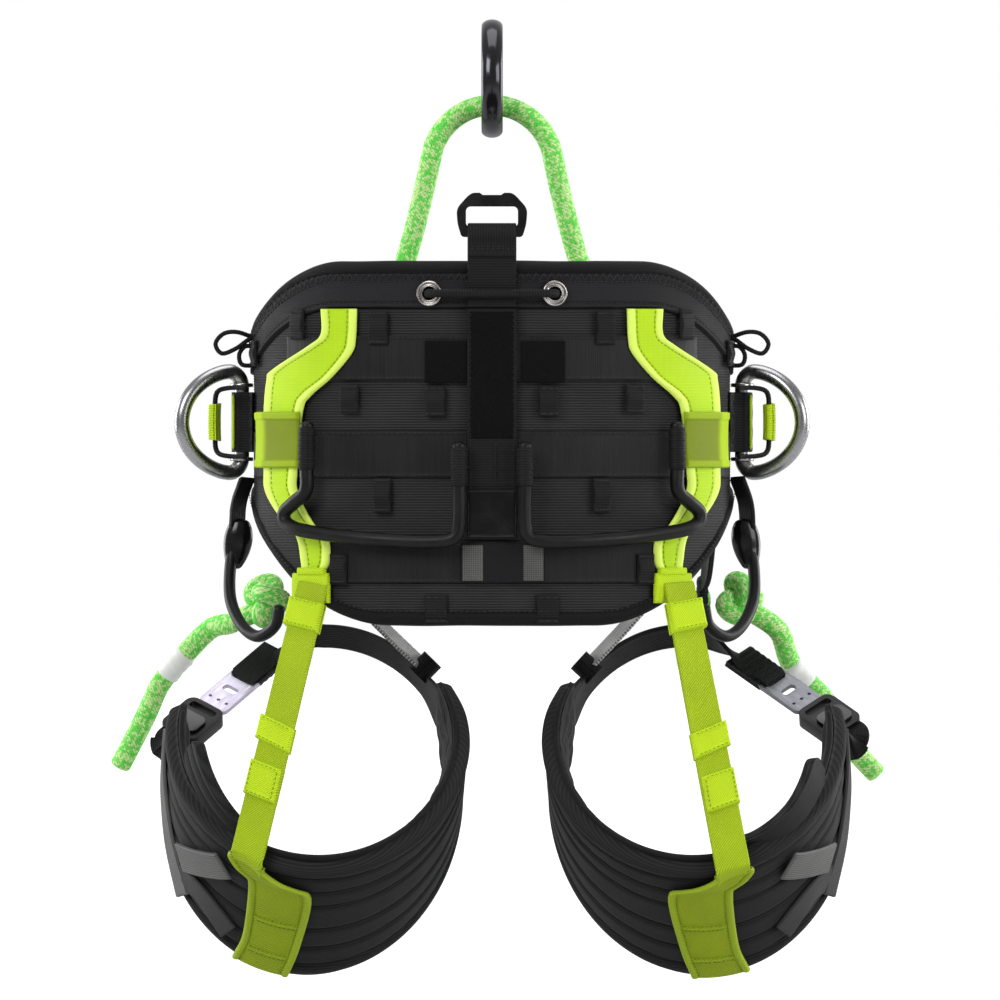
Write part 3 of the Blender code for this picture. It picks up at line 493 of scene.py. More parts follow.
def ribbon(name, path, ways, half, thick, shader, relief=None, columns=18, tint=None):
    """A free strap: a path, its width direction at each point, and rounded edges."""
    path = np.asarray(path, float)
    ways = np.asarray(ways, float)
    ahead = np.gradient(path, axis=0)
    ahead /= np.linalg.norm(ahead, axis=1)[:, None]
    ways = ways - ahead * np.sum(ways * ahead, 1)[:, None]
    ways /= np.linalg.norm(ways, axis=1)[:, None]
    normals = np.cross(ahead, ways)
    length = np.concatenate([[0.0], np.cumsum(np.linalg.norm(np.diff(path, axis=0), axis=1))])
    halves = np.full(len(path), half) if np.isscalar(half) else np.asarray(half)
    t = spread(-1.0, 1.0, columns, 0.08)
    U = np.repeat(length[:, None], len(t), 1)
    V = halves[:, None] * t[None]

    def surface(u, v, offset):
        return (path[:, None] + v[..., None] * ways[:, None] + offset[..., None] * normals[:, None])

    lift = relief(U, V) if relief is not None else 0.0
    return sheet(name, surface, U, V, -thick / 2, thick, shader, lift, tint=tint)


def turned(name, profile, centre, axis, shader, count=48):
    """A body turned about an axis from a profile of (radius, height)."""
    profile = np.asarray(profile, float)
    turn = np.linspace(0.0, 2 * pi, count, endpoint=False)
    x = profile[None, :, 0] * np.cos(turn)[:, None]
    y = profile[None, :, 0] * np.sin(turn)[:, None]
    z = np.repeat(profile[None, :, 1], count, 0)
    points = np.stack([x, y, z], -1).reshape(-1, 3)
    size = len(profile)
    faces = []
    for i in range(count):
        for j in range(size):
            a = i * size + j
            b = i * size + (j + 1) % size
            c = ((i + 1) % count) * size + (j + 1) % size
            faces.append((a, b, c, ((i + 1) % count) * size + j))
    rotation = np.array(Vector(axis).to_track_quat("Z", "Y").to_matrix())
    weave = np.stack([np.repeat(turn, size) * 0.02, np.tile(np.arange(size) * 0.001, count),
                      np.zeros(size * count)], -1)
    obj = build(name, points @ rotation.T + np.asarray(centre), faces, shader, weave)
    make_outward(obj)
    return obj


def rounded_outline(width, height, radius, centre=(0.0, 0.0), segments=8):
    outline = []
    for sx, sy, start in ((1, 1, 0), (-1, 1, 90), (-1, -1, 180), (1, -1, 270)):
        for k in range(segments + 1):
            angle = radians(start + 90.0 * k / segments)
            outline.append((centre[0] + sx * (width / 2 - radius) + radius * cos(angle),
                            centre[1] + sy * (height / 2 - radius) + radius * sin(angle)))
    return outline


def plate(name, outlines, thick, matrix, shader, bevel):
    """A flat plate with holes and rounded edges."""
    curve = bpy.data.curves.new(name, "CURVE")
    curve.dimensions = "2D"
    curve.fill_mode = "BOTH"
    curve.extrude = thick / 2
    for outline in outlines:
        spline = curve.splines.new("POLY")
        spline.points.add(len(outline) - 1)
        for point, (x, y) in zip(spline.points, outline):
            point.co = (x, y, 0.0, 1.0)
        spline.use_cyclic_u = True
    carrier = bpy.data.objects.new(name + "_curve", curve)
    bpy.context.scene.collection.objects.link(carrier)
    weld = carrier.modifiers.new("weld", "WELD")
    weld.merge_threshold = 0.00003
    edge = carrier.modifiers.new("edges", "BEVEL")
    edge.width = bevel
    edge.segments = 3
    edge.limit_method = "ANGLE"
    edge.angle_limit = radians(50.0)
    bpy.context.view_layer.update()
    graph = bpy.context.evaluated_depsgraph_get()
    mesh = bpy.data.meshes.new_from_object(carrier.evaluated_get(graph))
    bpy.data.objects.remove(carrier)
    mesh.name = name
    flat = np.array([v.co for v in mesh.vertices])
    layer = mesh.attributes.new("weave", "FLOAT_VECTOR", "POINT")
    layer.data.foreach_set("vector", flat.astype(np.float32).ravel())
    mesh.transform(matrix)
    mesh.materials.clear()
    mesh.materials.append(MATERIAL[shader])
    mesh.shade_smooth()
    mesh.set_sharp_from_angle(angle=radians(35.0))
    obj = bpy.data.objects.new(name, mesh)
    bpy.context.scene.collection.objects.link(obj)
    return obj


class Thread:
    """Many short stitches gathered in one piece."""

    def __init__(self):
        self.points = []
        self.faces = []

    def stitch(self, start, end, radius):
        ahead = end - start
        size = np.linalg.norm(ahead)
        if size < 1e-6:
            return
        ahead = ahead / size
        side = np.cross(ahead, (0.13, 0.27, 0.95))
        side /= np.linalg.norm(side)
        up = np.cross(ahead, side)
        first = len(self.points)
        self.points.append(start)
        for t, r in ((0.12, 0.75), (0.5, 1.0), (0.88, 0.75)):
            for k in range(6):
                turn = pi * k / 3
                spoke = cos(turn) * side + sin(turn) * up
                self.points.append(start + ahead * size * t + radius * r * spoke)
        self.points.append(end)
        last = first + 19
        for k in range(6):
            n = (k + 1) % 6
            self.faces.append((first, first + 1 + n, first + 1 + k))
            self.faces.append((last, first + 13 + k, first + 13 + n))
            for ring in (1, 7):
                a = first + ring + k
                b = first + ring + n
                self.faces.append((a, b, b + 6, a + 6))

    def line(self, path, length=0.0024, gap=0.0010, radius=0.00032):
        """A run of stitches along a path."""
        path = np.asarray(path, float)
        total = np.concatenate([[0.0], np.cumsum(np.linalg.norm(np.diff(path, axis=0), axis=1))])
        at = gap
        while at + length < total[-1]:
            ends = [np.array([np.interp(s, total, path[:, k]) for k in range(3)]) for s in (at, at + length)]
            self.stitch(ends[0], ends[1], radius)
            at += length + gap

    def zigzag(self, left, right, radius=0.0003):
        """Stitches that go to and fro between two matching paths."""
        for k in range(len(left) - 1):
            start, end = (left[k], right[k + 1]) if k % 2 == 0 else (right[k], left[k + 1])
            self.stitch(np.asarray(start), np.asarray(end), radius)

    def bar(self, start, end, way, width=0.0022, pitch=0.0006, radius=0.00032):
        """A dense bar tack from start to end, its threads along the given way."""
        start = np.asarray(start, float)
        end = np.asarray(end, float)
        way = np.asarray(way, float) / np.linalg.norm(way)
        count = max(2, int(np.linalg.norm(end - start) / pitch))
        for k in range(count + 1):
            middle = start + (end - start) * k / count
            self.stitch(middle - way * width / 2, middle + way * width / 2, radius)

    def build(self, name, shader):
        points = np.array(self.points)
        obj = build(name, points, self.faces, shader, points)
        make_outward(obj)
        return obj


# ---- the belt's surface ----
ANGLES = np.linspace(-178.0, 178.0, 1425)


def belt_raw(angle, height, offset):
    turn = np.radians(angle)
    depth = np.where(np.abs(angle) <= 90.0, HALF_DEPTH, FRONT_DEPTH)
    return np.stack([(HALF_WIDTH + offset) * np.sin(turn), CENTRE_Y - (depth + offset) * np.cos(turn),
                     height + 0.0 * turn], -1)


def arc_table(line):
    length = np.concatenate([[0.0], np.cumsum(np.linalg.norm(np.diff(line, axis=0), axis=1))])
    return length


BELT_ARC = arc_table(belt_raw(ANGLES, 0.0 * ANGLES, WEB))
BELT_ARC = BELT_ARC - np.interp(0.0, ANGLES, BELT_ARC)


def belt(U, V, offset):
    """A point on the belt: arc length from the back's middle, height, offset."""
    return belt_raw(np.interp(U, BELT_ARC, ANGLES), V, offset)


def arc_of(angle):
    return np.interp(angle, ANGLES, BELT_ARC)


def arc_at(x, offset=WEB):
    """The arc length at which the belt's surface reaches x."""
    return arc_of(np.degrees(np.arcsin(np.clip(np.asarray(x) / (HALF_WIDTH + offset), -1.0, 1.0))))


def belt_top(U):
    return BELT_TOP - TOP_DROP * smoothstep(np.abs(np.interp(U, BELT_ARC, ANGLES)), 40.0, 96.0)


def belt_bottom(U):
    return BELT_BOTTOM + BOTTOM_RISE * smoothstep(np.abs(np.interp(U, BELT_ARC, ANGLES)), 26.0, 104.0)


def belt_grid(start, end, low, high, along, across):
    """Arc length and height over a band between two height functions."""
    u = spread(start, end, along)
    lows = low(u)
    highs = high(u)
    size = float(np.mean(highs - lows))
    t = spread(0.0, 1.0, across, 0.0008 / size)
    U = np.repeat(u[:, None], len(t), 1)
    V = lows[:, None] + (highs - lows)[:, None] * t[None]
    return U, V


def flat(value):
    return lambda u: np.full_like(u, value)


PAD_REACH = arc_of(97.5)
SHELL_REACH = arc_of(90.0)
ROWS = {"upper": (0.0245, 0.0515, 58.0), "middle": (-0.0335, -0.0055, 80.0),
        "lower": (-0.0965, -0.0715, 45.0)}


def hash_noise(a, b=0.0, seed=0.0):
    """Repeatable values from 0 to 1 for any numbers."""
    value = np.sin(a * 12.9898 + b * 78.233 + seed * 37.719) * 43758.5453
    return value - np.floor(value)


def slow_noise(U, V, size, seed=0.0):
    """Soft random hills, about one unit high, of the given size."""
    total = 0.0
    for k in range(4):
        way = 2.4 * k + seed
        total = total + np.sin((U * cos(way) + V * sin(way)) / size * (1.0 + 0.37 * k) + 5.1 * k + seed)
    return total / 4.0


def make_shell():
    """The ribbed outer shell."""
    U, V = belt_grid(-SHELL_REACH, SHELL_REACH, lambda u: belt_bottom(u) + 2 * ROLL_HALF - 0.003,
                     lambda u: belt_top(u) - FACING, 200, 420)
    ribs = 0.00020 * (1 + np.sin(2 * pi * V / 0.0016))
    puff = 0.0003 * slow_noise(U, V, 0.012, 1.0)
    obj = sheet("shell_cover", belt, U, V, SHELL, 0.0014, "shell", ribs + puff)
    place(obj, "saddle", "black_fabric", "outer_shell")


def make_facing():
    """The plain facing under the rim, with a folded lower edge."""
    U, V = belt_grid(-PAD_REACH, PAD_REACH, lambda u: belt_top(u) - FACING + 0.0005,
                     lambda u: belt_top(u) - 2 * ROLL_HALF + 0.003, 240, 60)
    drop = V - (belt_top(U) - FACING)
    fold = 0.0006 * (1 - smoothstep(drop, 0.0028, 0.0036))
    fold = fold - 0.0004 * np.exp(-((drop - 0.0036) / 0.0006) ** 2)
    puff = 0.00035 * slow_noise(U, V, 0.016, 2.0)
    obj = sheet("facing_cover", belt, U, V, SHELL, 0.0032, "facing", fold + puff)
    place(obj, "saddle", "black_fabric", "top_facing")


def roll_cover(name, node, middle):
    """A padded rim: an oval tube with a binding ridge, along the belt's edge."""
    centre = (WEB + 0.0017) / 2.0
    u = np.linspace(-PAD_REACH, PAD_REACH, 260)
    turn = np.linspace(0.0, 2 * pi, 36, endpoint=False)
    U, T = np.meshgrid(u, turn, indexing="ij")
    ridge = 0.0004 * np.exp(-((np.mod(T + pi, 2 * pi) - pi + 0.9) / 0.12) ** 2)
    puff = 0.00025 * slow_noise(U, T * 0.006, 0.010, 3.0)
    grow = 1.0 + (puff + ridge) / ROLL_HALF
    close = 0.25 + 0.75 * np.sqrt(1 - (1 - np.clip((PAD_REACH - np.abs(U)) / 0.004, 0, 1)) ** 2)
    V = middle(U) + ROLL_HALF * np.sin(T) * grow * close
    points = belt(U, V, centre + centre * np.cos(T) * grow * close)
    faces = grid_faces(len(u), len(turn), 0, False, True)
    faces.append(tuple(range(len(turn))))
    faces.append(tuple(range(len(u) * len(turn) - 1, len(u) * len(turn) - 1 - len(turn), -1)))
    weave = np.stack([U, T * 0.0075, 0 * U], -1)
    obj = build(name, points, faces, "binding", weave)
    make_outward(obj)
    place(obj, "saddle", "black_fabric", node)


def make_rolls():
    roll_cover("top_rim", "top_roll", lambda u: belt_top(u) - ROLL_HALF)
    roll_cover("bottom_rim", "bottom_roll", lambda u: belt_bottom(u) + ROLL_HALF)
    thread = Thread()
    u = np.linspace(-PAD_REACH + 0.004, PAD_REACH - 0.004, 190)
    high = belt_top(u) - 2 * ROLL_HALF
    outer = WEB + 0.0021
    thread.zigzag(belt(u, high + 0.0030, 0 * u + outer + 0.0006), belt(u, high - 0.0012, 0 * u + outer))
    thread.line(belt(u, high - 0.0020, 0 * u + SHELL + 0.0036))
    low = belt_bottom(u) + 2 * ROLL_HALF
    thread.line(belt(u, low - 0.0016, 0 * u + outer + 0.0002))
    lower = belt_top(u) - FACING + 0.0034
    thread.line(belt(u, lower, 0 * u + SHELL + 0.0036))
    place(thread.build("rim_stitching", "black_thread"), "saddle", "black_fabric")


TABS = [(0.1140, 0.0490, 0.0672, 0.0105), (0.0665, 0.0460, 0.0660, 0.0118), (0.0835, 0.0050, 0.0225, 0.0118),
        (0.0330, 0.0030, 0.0212, 0.0118), (0.0640, -0.0545, -0.0336, 0.0105),
        (0.1405, 0.0335, 0.0490, 0.0105), (0.0900, -0.0970, -0.0790, 0.0115),
        (0.0330, -0.1205, -0.1035, 0.0140)]


def make_rows():
    """Smooth webbing rows: full across their middle with a slow random puff, raised selvedges, and stitching
    along both edges.
    """
    thread = Thread()
    for name, (low, high, reach) in ROWS.items():
        end = arc_of(reach)
        U, V = belt_grid(-end, end, flat(low), flat(high), 190, 40)
        full = np.sin(pi * np.clip((V - low) / (high - low), 0, 1)) ** 0.7
        puff = 0.0006 * full * (0.6 + 0.4 * slow_noise(U, V * 0.2, 0.009, low * 100))
        selvedge = 0.0003 * np.exp(-(np.minimum(V - low, high - V) / 0.0010 - 1.0) ** 2)
        obj = sheet("row_" + name, belt, U, V, WEB, 0.0015, "smooth_webbing", puff + selvedge)
        place(obj, "saddle", "black_webbing", "webbing_row_" + name)
        u = np.linspace(-end + 0.001, end - 0.001, 160)
        for z in (low + 0.0016, high - 0.0016):
            thread.line(belt(u, 0 * u + z, 0 * u + WEB + 0.0019), 0.0022, 0.0014, 0.00025)
    place(thread.build("row_stitching", "black_thread"), "saddle", "black_webbing")


def make_tabs():
    """Short attachment tabs sewn over the rows, with a bar tack at each end."""
    thread = Thread()
    for side, sign in SIDES.items():
        for k, (x, low, high, width) in enumerate(TABS):
            middle = float(arc_at(sign * x))
            base = WEB + (0.0026 if abs(x) < 0.13 else 0.0021)
            if low < -0.10:
                base = SHELL + 0.0021
            U, V = belt_grid(middle - width / 2, middle + width / 2, flat(low), flat(high), 16, 26)
            t = (V - low) / (high - low)
            arch = 0.0012 * np.sin(pi * np.clip((t - 0.12) / 0.76, 0, 1)) ** 2
            obj = sheet(f"tab_{side}_{k + 1}", belt, U, V, base, 0.0014, "black_webbing", arch)
            place(obj, "saddle", "black_webbing")
            for z in (low + 0.0016, high - 0.0016):
                start = belt(np.array(middle - width * 0.42), np.array(z), np.array(base + 0.0016))
                end = belt(np.array(middle + width * 0.42), np.array(z), np.array(base + 0.0016))
                thread.bar(start, end, (0.0, 0.0, 1.0), 0.0016)
    place(thread.build("tab_bar_tacks", "black_thread"), "saddle", "black_webbing")


def make_fuzz_squares():
    """Two loop-pile squares beside the spine panel."""
    for side, sign, low, high in (("left", -1, 0.0145, 0.0395), ("right", 1, 0.0170, 0.0430)):
        ends = sorted(float(arc_at(sign * x)) for x in (low, high))
        U, V = belt_grid(ends[0], ends[1], flat(0.0232), flat(0.0482), 60, 60)
        pile = 0.0005 * hash_noise(np.round(U / 0.0004), np.round(V / 0.0004))
        obj = sheet("pile_square_" + side, belt, U, V, WEB + 0.0024, 0.0008, "hook_and_loop", pile)
        place(obj, "saddle", "black_fabric")


def spine_surface(U, V, offset):
    """The flat plane of the spine strap: offset 0 is its back."""
    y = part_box("spine_panel")[1].y
    return np.stack([U, y - offset, V + 0.0 * U], -1)


def spine_grid(x_low, x_high, z_low, z_high, across, along):
    u = spread(x_low, x_high, across)
    v = spread(z_low, z_high, along)
    return np.meshgrid(u, v, indexing="ij")


def make_spine():
    """Spine strap, hook-and-loop panel, ribbed part, blank label and striped strip."""
    low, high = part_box("spine_panel")
    half = high.x
    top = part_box("spine_strap")[1].z
    U, V = spine_grid(-half, half, low.z, high.z, 30, 180)
    ribs = 0.00018 * np.sin(2 * pi * V / 0.0018) ** 2
    selvedge = 0.0004 * np.exp(-((half - np.abs(U)) / 0.0010 - 1.0) ** 2)
    obj = sheet("spine_cover", spine_surface, U, V, 0.0, 0.0012, "black_webbing", ribs + selvedge)
    place(obj, "saddle", "black_webbing", "spine_panel")
    strap_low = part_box("spine_strap")[0].z
    U, V = spine_grid(-half + 0.0004, half - 0.0004, strap_low, top, 30, 80)
    ribs = 0.0002 * np.sin(2 * pi * V / 0.0018) ** 2
    obj = sheet("spine_upper", spine_surface, U, V, 0.0, 0.0014, "black_webbing", ribs)
    place(obj, "saddle", "black_webbing", "spine_strap")
    U, V = spine_grid(-half + 0.0020, half - 0.0020, -0.0100, 0.0655, 70, 190)
    pile = 0.0006 * hash_noise(np.round(U / 0.00045), np.round(V / 0.00045))
    obj = sheet("pile_panel", spine_surface, U, V, 0.0014, 0.0006, "hook_and_loop", pile)
    place(obj, "saddle", "black_fabric")
    U, V = spine_grid(-half + 0.0010, half - 0.0010, -0.0690, -0.0415, 20, 24)
    obj = sheet("blank_label", spine_surface, U, V, 0.0014, 0.0008, "gloss",
                0.0002 * np.sin(U / half * 2.0) ** 2)
    place(obj, "saddle", "black_plastic")
    make_striped_label()
    thread = Thread()
    face = low.y - 0.0001
    thread.bar((0.0020, face, -0.0130), (0.0020, face, -0.0350), (1.0, 0.0, 0.0), 0.0022, 0.0007)
    for x in (-half + 0.0022, half - 0.0022):
        thread.line([(x, face, low.z + 0.002), (x, face, high.z - 0.001)], 0.0022, 0.0012, 0.00026)
    for z in (-0.0090, -0.0395):
        thread.bar((-half + 0.002, face, z), (half - 0.002, face, z), (0.0, 0.0, 1.0), 0.0014, 0.0008,
                   0.00026)
    place(thread.build("spine_stitching", "black_thread"), "saddle", "black_webbing")


def make_striped_label():
    """The wide strip under the panel, with a reflective stripe near each end."""
    ends = [float(arc_at(x)) for x in (-0.0180, 0.0306)]
    U, V = belt_grid(ends[0], ends[1], flat(-0.0960), flat(-0.0728), 60, 30)
    place(sheet("label_strip", belt, U, V, WEB + 0.0025, 0.0010, "black"), "saddle", "black_fabric")
    for name, x0, x1 in (("left", -0.0172, -0.0052), ("right", 0.0184, 0.0300)):
        U, V = belt_grid(float(arc_at(x0)), float(arc_at(x1)), flat(-0.0950), flat(-0.0738), 30, 40)
        ribs = 0.00015 * np.sin(2 * pi * V / 0.0014) ** 2
        obj = sheet("reflective_stripe_" + name, belt, U, V, WEB + 0.0034, 0.0005, "reflective", ribs)
        place(obj, "saddle", "grey_webbing")


def make_strap_loop():
    """The stiff loop at the top of the spine strap: a waisted plate with one slot."""
    low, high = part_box("strap_loop")
    pivot_z = 0.1140
    half = high.x
    crest = high.z - pivot_z
    outline = [(0.0056, crest - 0.0013, 0.0004), (0.0072, crest, 0.0004)]
    for x, z, r in ((0.60, 1.0, 0.20), (1.0, 0.58, 0.16), (0.97, 0.18, 0.12), (0.86, -0.175, 0.10)):
        outline.append((x * half, z * crest, r * half))
    ring = outline + [(-x, z, r) for x, z, r in reversed(outline)]
    slot = rounded_outline(0.0310, 0.0123, 0.0028, (0.0, 0.00815))
    middle_y = (low.y + high.y) / 2
    matrix = Matrix.Translation((0.0, middle_y, pivot_z)) @ Matrix.Rotation(radians(90.0), 4, "X")
    obj = plate("top_strap_loop", [round_corners(ring), slot], high.y - low.y, matrix, "plastic", 0.0014)
    place(obj, "strap_loop", "black_plastic", "strap_loop")
    wrap = [(0.0014, 0.1010), (0.0018, 0.1062), (0.0044, 0.1106)]
    for k in range(9):
        turn = radians(-10.0 + 25.0 * k)
        wrap.append((0.0047 * cos(turn), 0.1129 + 0.0047 * sin(turn)))
    wrap += [(-0.0044, 0.1106), (-0.0024, 0.1062), (-0.0022, 0.0985)]
    path = resample([(0.0, middle_y + y, z) for y, z in wrap], 0.0006)
    ways = np.repeat([[1.0, 0.0, 0.0]], len(path), 0)
    loop = ribbon("spine_loop_wrap", path, ways, 0.0146, 0.0015, "black_webbing",
                  lambda U, V: 0.0002 * np.sin(pi * U / 0.0018) ** 2)
    place(loop, "saddle", "black_webbing")
    thread = Thread()
    for z in (0.1046, 0.1030):
        thread.line([(x, middle_y - 0.0036, z) for x in (-0.0135, 0.0135)], 0.0020, 0.0010, 0.00028)
    place(thread.build("spine_loop_stitching", "black_thread"), "saddle", "black_webbing")


def round_corners(corners, segments=6):
    """An outline with its corners rounded; each corner is (x, y, radius)."""
    outline = []
    count = len(corners)
    for k in range(count):
        here = np.array(corners[k][:2])
        before = np.array(corners[k - 1][:2]) - here
        after = np.array(corners[(k + 1) % count][:2]) - here
        radius = corners[k][2]
        start = here + before / np.linalg.norm(before) * min(radius, np.linalg.norm(before) * 0.45)
        end = here + after / np.linalg.norm(after) * min(radius, np.linalg.norm(after) * 0.45)
        for i in range(segments + 1):
            t = i / segments
            point = start * (1 - t) ** 2 + here * 2 * t * (1 - t) + end * t * t
            outline.append((float(point[0]), float(point[1])))
    return outline


def make_eyelets():
    """Rolled metal eyelets and the elastic cord that runs between them."""
    for side in SIDES:
        low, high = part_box("eyelet_" + side)
        centre = (np.array(low) + np.array(high)) / 2
        angle = np.interp(arc_at(centre[0]), BELT_ARC, ANGLES)
        outward = np.array([sin(radians(angle)), -cos(radians(angle)), 0.0])
        profile = [(0.0040, -0.0010), (0.0039, 0.0002), (0.0042, 0.0009), (0.0047, 0.0010), (0.0051, 0.0004),
                   (0.0056, 0.0001), (0.0061, 0.0004), (0.0064, 0.0011), (0.0069, 0.0014), (0.0075, 0.0011),
                   (0.0078, 0.0003), (0.0077, -0.0006)]
        obj = turned("rolled_eyelet_" + side, profile, centre, outward, "nickel")
        place(obj, "saddle", "polished_aluminium", "eyelet_" + side)
        # Painted shade: a near-black disc closes each eyelet's hole and stands for the shade inside it.
        dark = [(0.0001, -0.0012), (0.0040, -0.0012), (0.0040, -0.0004), (0.0001, -0.0004)]
        place(turned("eyelet_hole_shade_" + side, dark, centre, outward, "hook_and_loop", 24), "saddle",
              "black_fabric")
    low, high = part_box("elastic_cord")
    z = (low.z + high.z) / 2
    reach = float(arc_at(high.x - 0.0010, SHELL))
    t = np.linspace(-1.0, 1.0, 60)
    offset = SHELL + 0.0040 + 0.0062 * (1 - np.abs(t) ** 14)
    path = belt(t * (reach - 0.0025), z + 0 * t, offset)
    obj, _, _ = pipe("elastic", resample(path, 0.0012), 0.0025, "black_webbing", 20,
                     relief=lambda T, S: 0.00012 * np.sin(8 * T + S / 0.0006) * np.sin(8 * T - S / 0.0006))
    place(obj, "saddle", "black_webbing", "elastic_cord")


# ---- bright belt straps ----
STRAP_OUTER = [(0.1020, 0.0675), (0.1020, 0.0525), (0.1095, 0.0455), (0.1315, 0.0310), (0.1345, 0.0250),
               (0.1362, 0.0060), (0.1362, -0.0280), (0.1355, -0.0410), (0.1285, -0.0540), (0.1170, -0.0680),
               (0.1140, -0.0830), (0.1135, -0.0880)]
STRAP_INNER = [(0.0805, 0.0675), (0.0812, 0.0495), (0.0838, 0.0405), (0.0955, 0.0265), (0.1085, 0.0150),
               (0.1130, 0.0060), (0.1162, -0.0280), (0.1160, -0.0420), (0.1070, -0.0600), (0.0975, -0.0710),
               (0.0968, -0.0830), (0.0985, -0.0880)]


def even_pair(first, second, count):
    """Both edges of a strap, resampled together."""
    joined = np.concatenate([np.asarray(first, float), np.asarray(second, float)], 1)
    line = resample(joined, 0.0015)
    at = np.linspace(0, len(line) - 1, count)
    line = np.stack([np.interp(at, np.arange(len(line)), line[:, k]) for k in range(4)], -1)
    return line[:, :2], line[:, 2:]


def piped(distance, width=0.0036):
    """The relief of a strap with piped edges: a rounded rib, then a groove."""
    rib = 0.0007 * np.sin(pi * np.clip(distance / width, 0, 1)) ** 0.8
    groove = -0.0004 * np.exp(-((distance - width - 0.0006) / 0.0004) ** 2)
    return rib * (distance < width) + groove


def make_belt_straps():
    thread = Thread()
    for side, sign in SIDES.items():
        outer, inner = even_pair(STRAP_OUTER, STRAP_INNER, 200)
        t = spread(0.0, 1.0, 40, 0.03)
        X = outer[:, :1] + (inner[:, :1] - outer[:, :1]) * t[None]
        Z = outer[:, 1:] + (inner[:, 1:] - outer[:, 1:]) * t[None]
        width = np.linalg.norm(outer - inner, axis=1)[:, None] * 0.86
        distance = np.minimum(t, 1 - t)[None] * width
        U = arc_at(sign * X, STRAP)
        ends = np.minimum(np.arange(200), 199 - np.arange(200))[:, None] * 0.0009
        relief = piped(distance) + 0.0002 * slow_noise(U, Z, 0.012, 4.0)
        tint = smoothstep(-distance, -0.0040, -0.0034)
        obj = sheet("bright_strap_" + side, belt, U, Z, STRAP, 0.0013, "lime_strap", relief,
                    np.minimum(distance, ends + 0.0002), tint * 0.85)
        place(obj, "saddle", "lime_webbing", "belt_strap_" + side)
        for edge, other in ((outer, inner), (inner, outer)):
            way = (other - edge) / np.linalg.norm(other - edge, axis=1)[:, None]
            line = edge + way * 0.0052
            path = belt(arc_at(sign * line[:, 0], STRAP), line[:, 1], 0 * line[:, 0] + STRAP + 0.0014)
            thread.line(path, 0.0021, 0.0009, 0.00022)
        make_strap_foot(side, sign)
    place(thread.build("bright_strap_stitching", "lime_thread"), "saddle", "lime_webbing")


def make_strap_foot(side, sign):
    """The folded end of a bright strap and the narrow bar above it."""
    for name, inner, outer, low, high, base, thick in (
            ("bar", 0.0982, 0.1142, -0.0918, -0.0872, STRAP + 0.0008, 0.0026),
            ("fold", 0.0965, 0.1180, -0.1085, -0.0905, STRAP, 0.0024)):
        ends = sorted(float(arc_at(sign * x, STRAP)) for x in (inner, outer))
        U, V = belt_grid(ends[0], ends[1], flat(low), flat(high), 30, 30)
        puff = 0.0006 * np.sin(pi * (V - low) / (high - low)) ** 0.7
        obj = sheet(f"bright_strap_{name}_{side}", belt, U, V, base, thick, "lime_keeper", puff)
        place(obj, "saddle", "lime_webbing")


def make_belt_wraps():
    """Darker bands over the bright straps, folded and double-stitched."""
    thread = Thread()
    for side, sign in SIDES.items():
        ends = sorted(float(arc_at(sign * x, WRAP)) for x in (0.1150, 0.1405))
        U, V = belt_grid(ends[0], ends[1], flat(-0.0275), flat(0.0060), 40, 60)
        from_end = np.minimum(V + 0.0275, 0.0060 - V)
        hem = 0.0007 * (1 - smoothstep(from_end, 0.0042, 0.0050)) + 0.0004 * np.sin((V + 0.01) / 0.0105) ** 2
        obj = sheet("bright_wrap_" + side, belt, U, V, WRAP, 0.0015, "lime_wrap", hem,
                    tint=np.maximum(0.45 * (1 - smoothstep(from_end, 0.0035, 0.0050)),
                                    0.95 * smoothstep(np.abs(U), arc_at(0.1285), arc_at(0.1320))))
        place(obj, "saddle", "lime_webbing", "belt_wrap_" + side)
        u = np.linspace(ends[0] + 0.001, ends[1] - 0.001, 40)
        for z in (-0.0262, -0.0238, 0.0023, 0.0047):
            thread.line(belt(u, 0 * u + z, 0 * u + WRAP + 0.0022), 0.0020, 0.0009, 0.00024)
    place(thread.build("wrap_stitching", "lime_thread"), "saddle", "lime_webbing")


# ---- gear loops, cords, D-rings ----
BACK_LOOP = [(0.1106, 0.0000), (0.1108, -0.0260), (0.1112, -0.0410), (0.1180, -0.0480), (0.1240, -0.0540),
             (0.1230, -0.0605), (0.1130, -0.0650), (0.0850, -0.0690), (0.0550, -0.0712), (0.0330, -0.0715),
             (0.0225, -0.0690), (0.0195, -0.0600), (0.0195, -0.0350), (0.0195, -0.0120)]
SIDE_LOOP = [(0.1535, -0.004, -0.068), (0.1570, -0.008, -0.085), (0.1570, -0.020, -0.106),
             (0.1500, -0.036, -0.122), (0.1400, -0.050, -0.1285), (0.1300, -0.060, -0.122),
             (0.1270, -0.0665, -0.110)]


def cord_relief(T, S):
    return 0.00010 * np.sin(9 * T + S / 0.0007) * np.sin(9 * T - S / 0.0007)


def make_gear_loops():
    radius = 0.0042
    stand = TOP + radius + 0.0004
    for side, sign in SIDES.items():
        line = np.array(BACK_LOOP)
        path = resample(belt(arc_at(sign * line[:, 0], stand), line[:, 1], 0 * line[:, 0] + stand), 0.0012)
        obj, _, _ = pipe("rear_gear_tube_" + side, path, radius, "rubber", 24)
        place(obj, "back_gear_loop_" + side, "black_plastic", "back_gear_loop_" + side)
        for name, part in (("outer", path[2:26]), ("inner", path[-24:-2])):
            sleeve, _, _ = pipe(f"rear_gear_sleeve_{name}_{side}", part, radius + 0.0009, "black_webbing",
                                24, relief=lambda T, S: 0.0002 * np.sin(S / 0.0006))
            place(sleeve, "back_gear_loop_" + side, "black_webbing")
        world = np.array([(sign * x, y + CENTRE_Y, z) for x, y, z in SIDE_LOOP])
        path = resample(world, 0.0012)
        obj, _, _ = pipe("hip_gear_tube_" + side, path, 0.0036, "rubber", 22)
        place(obj, "side_gear_loop_" + side, "black_plastic", "side_gear_loop_" + side)
        make_hip_hanger(side, sign, path[0])


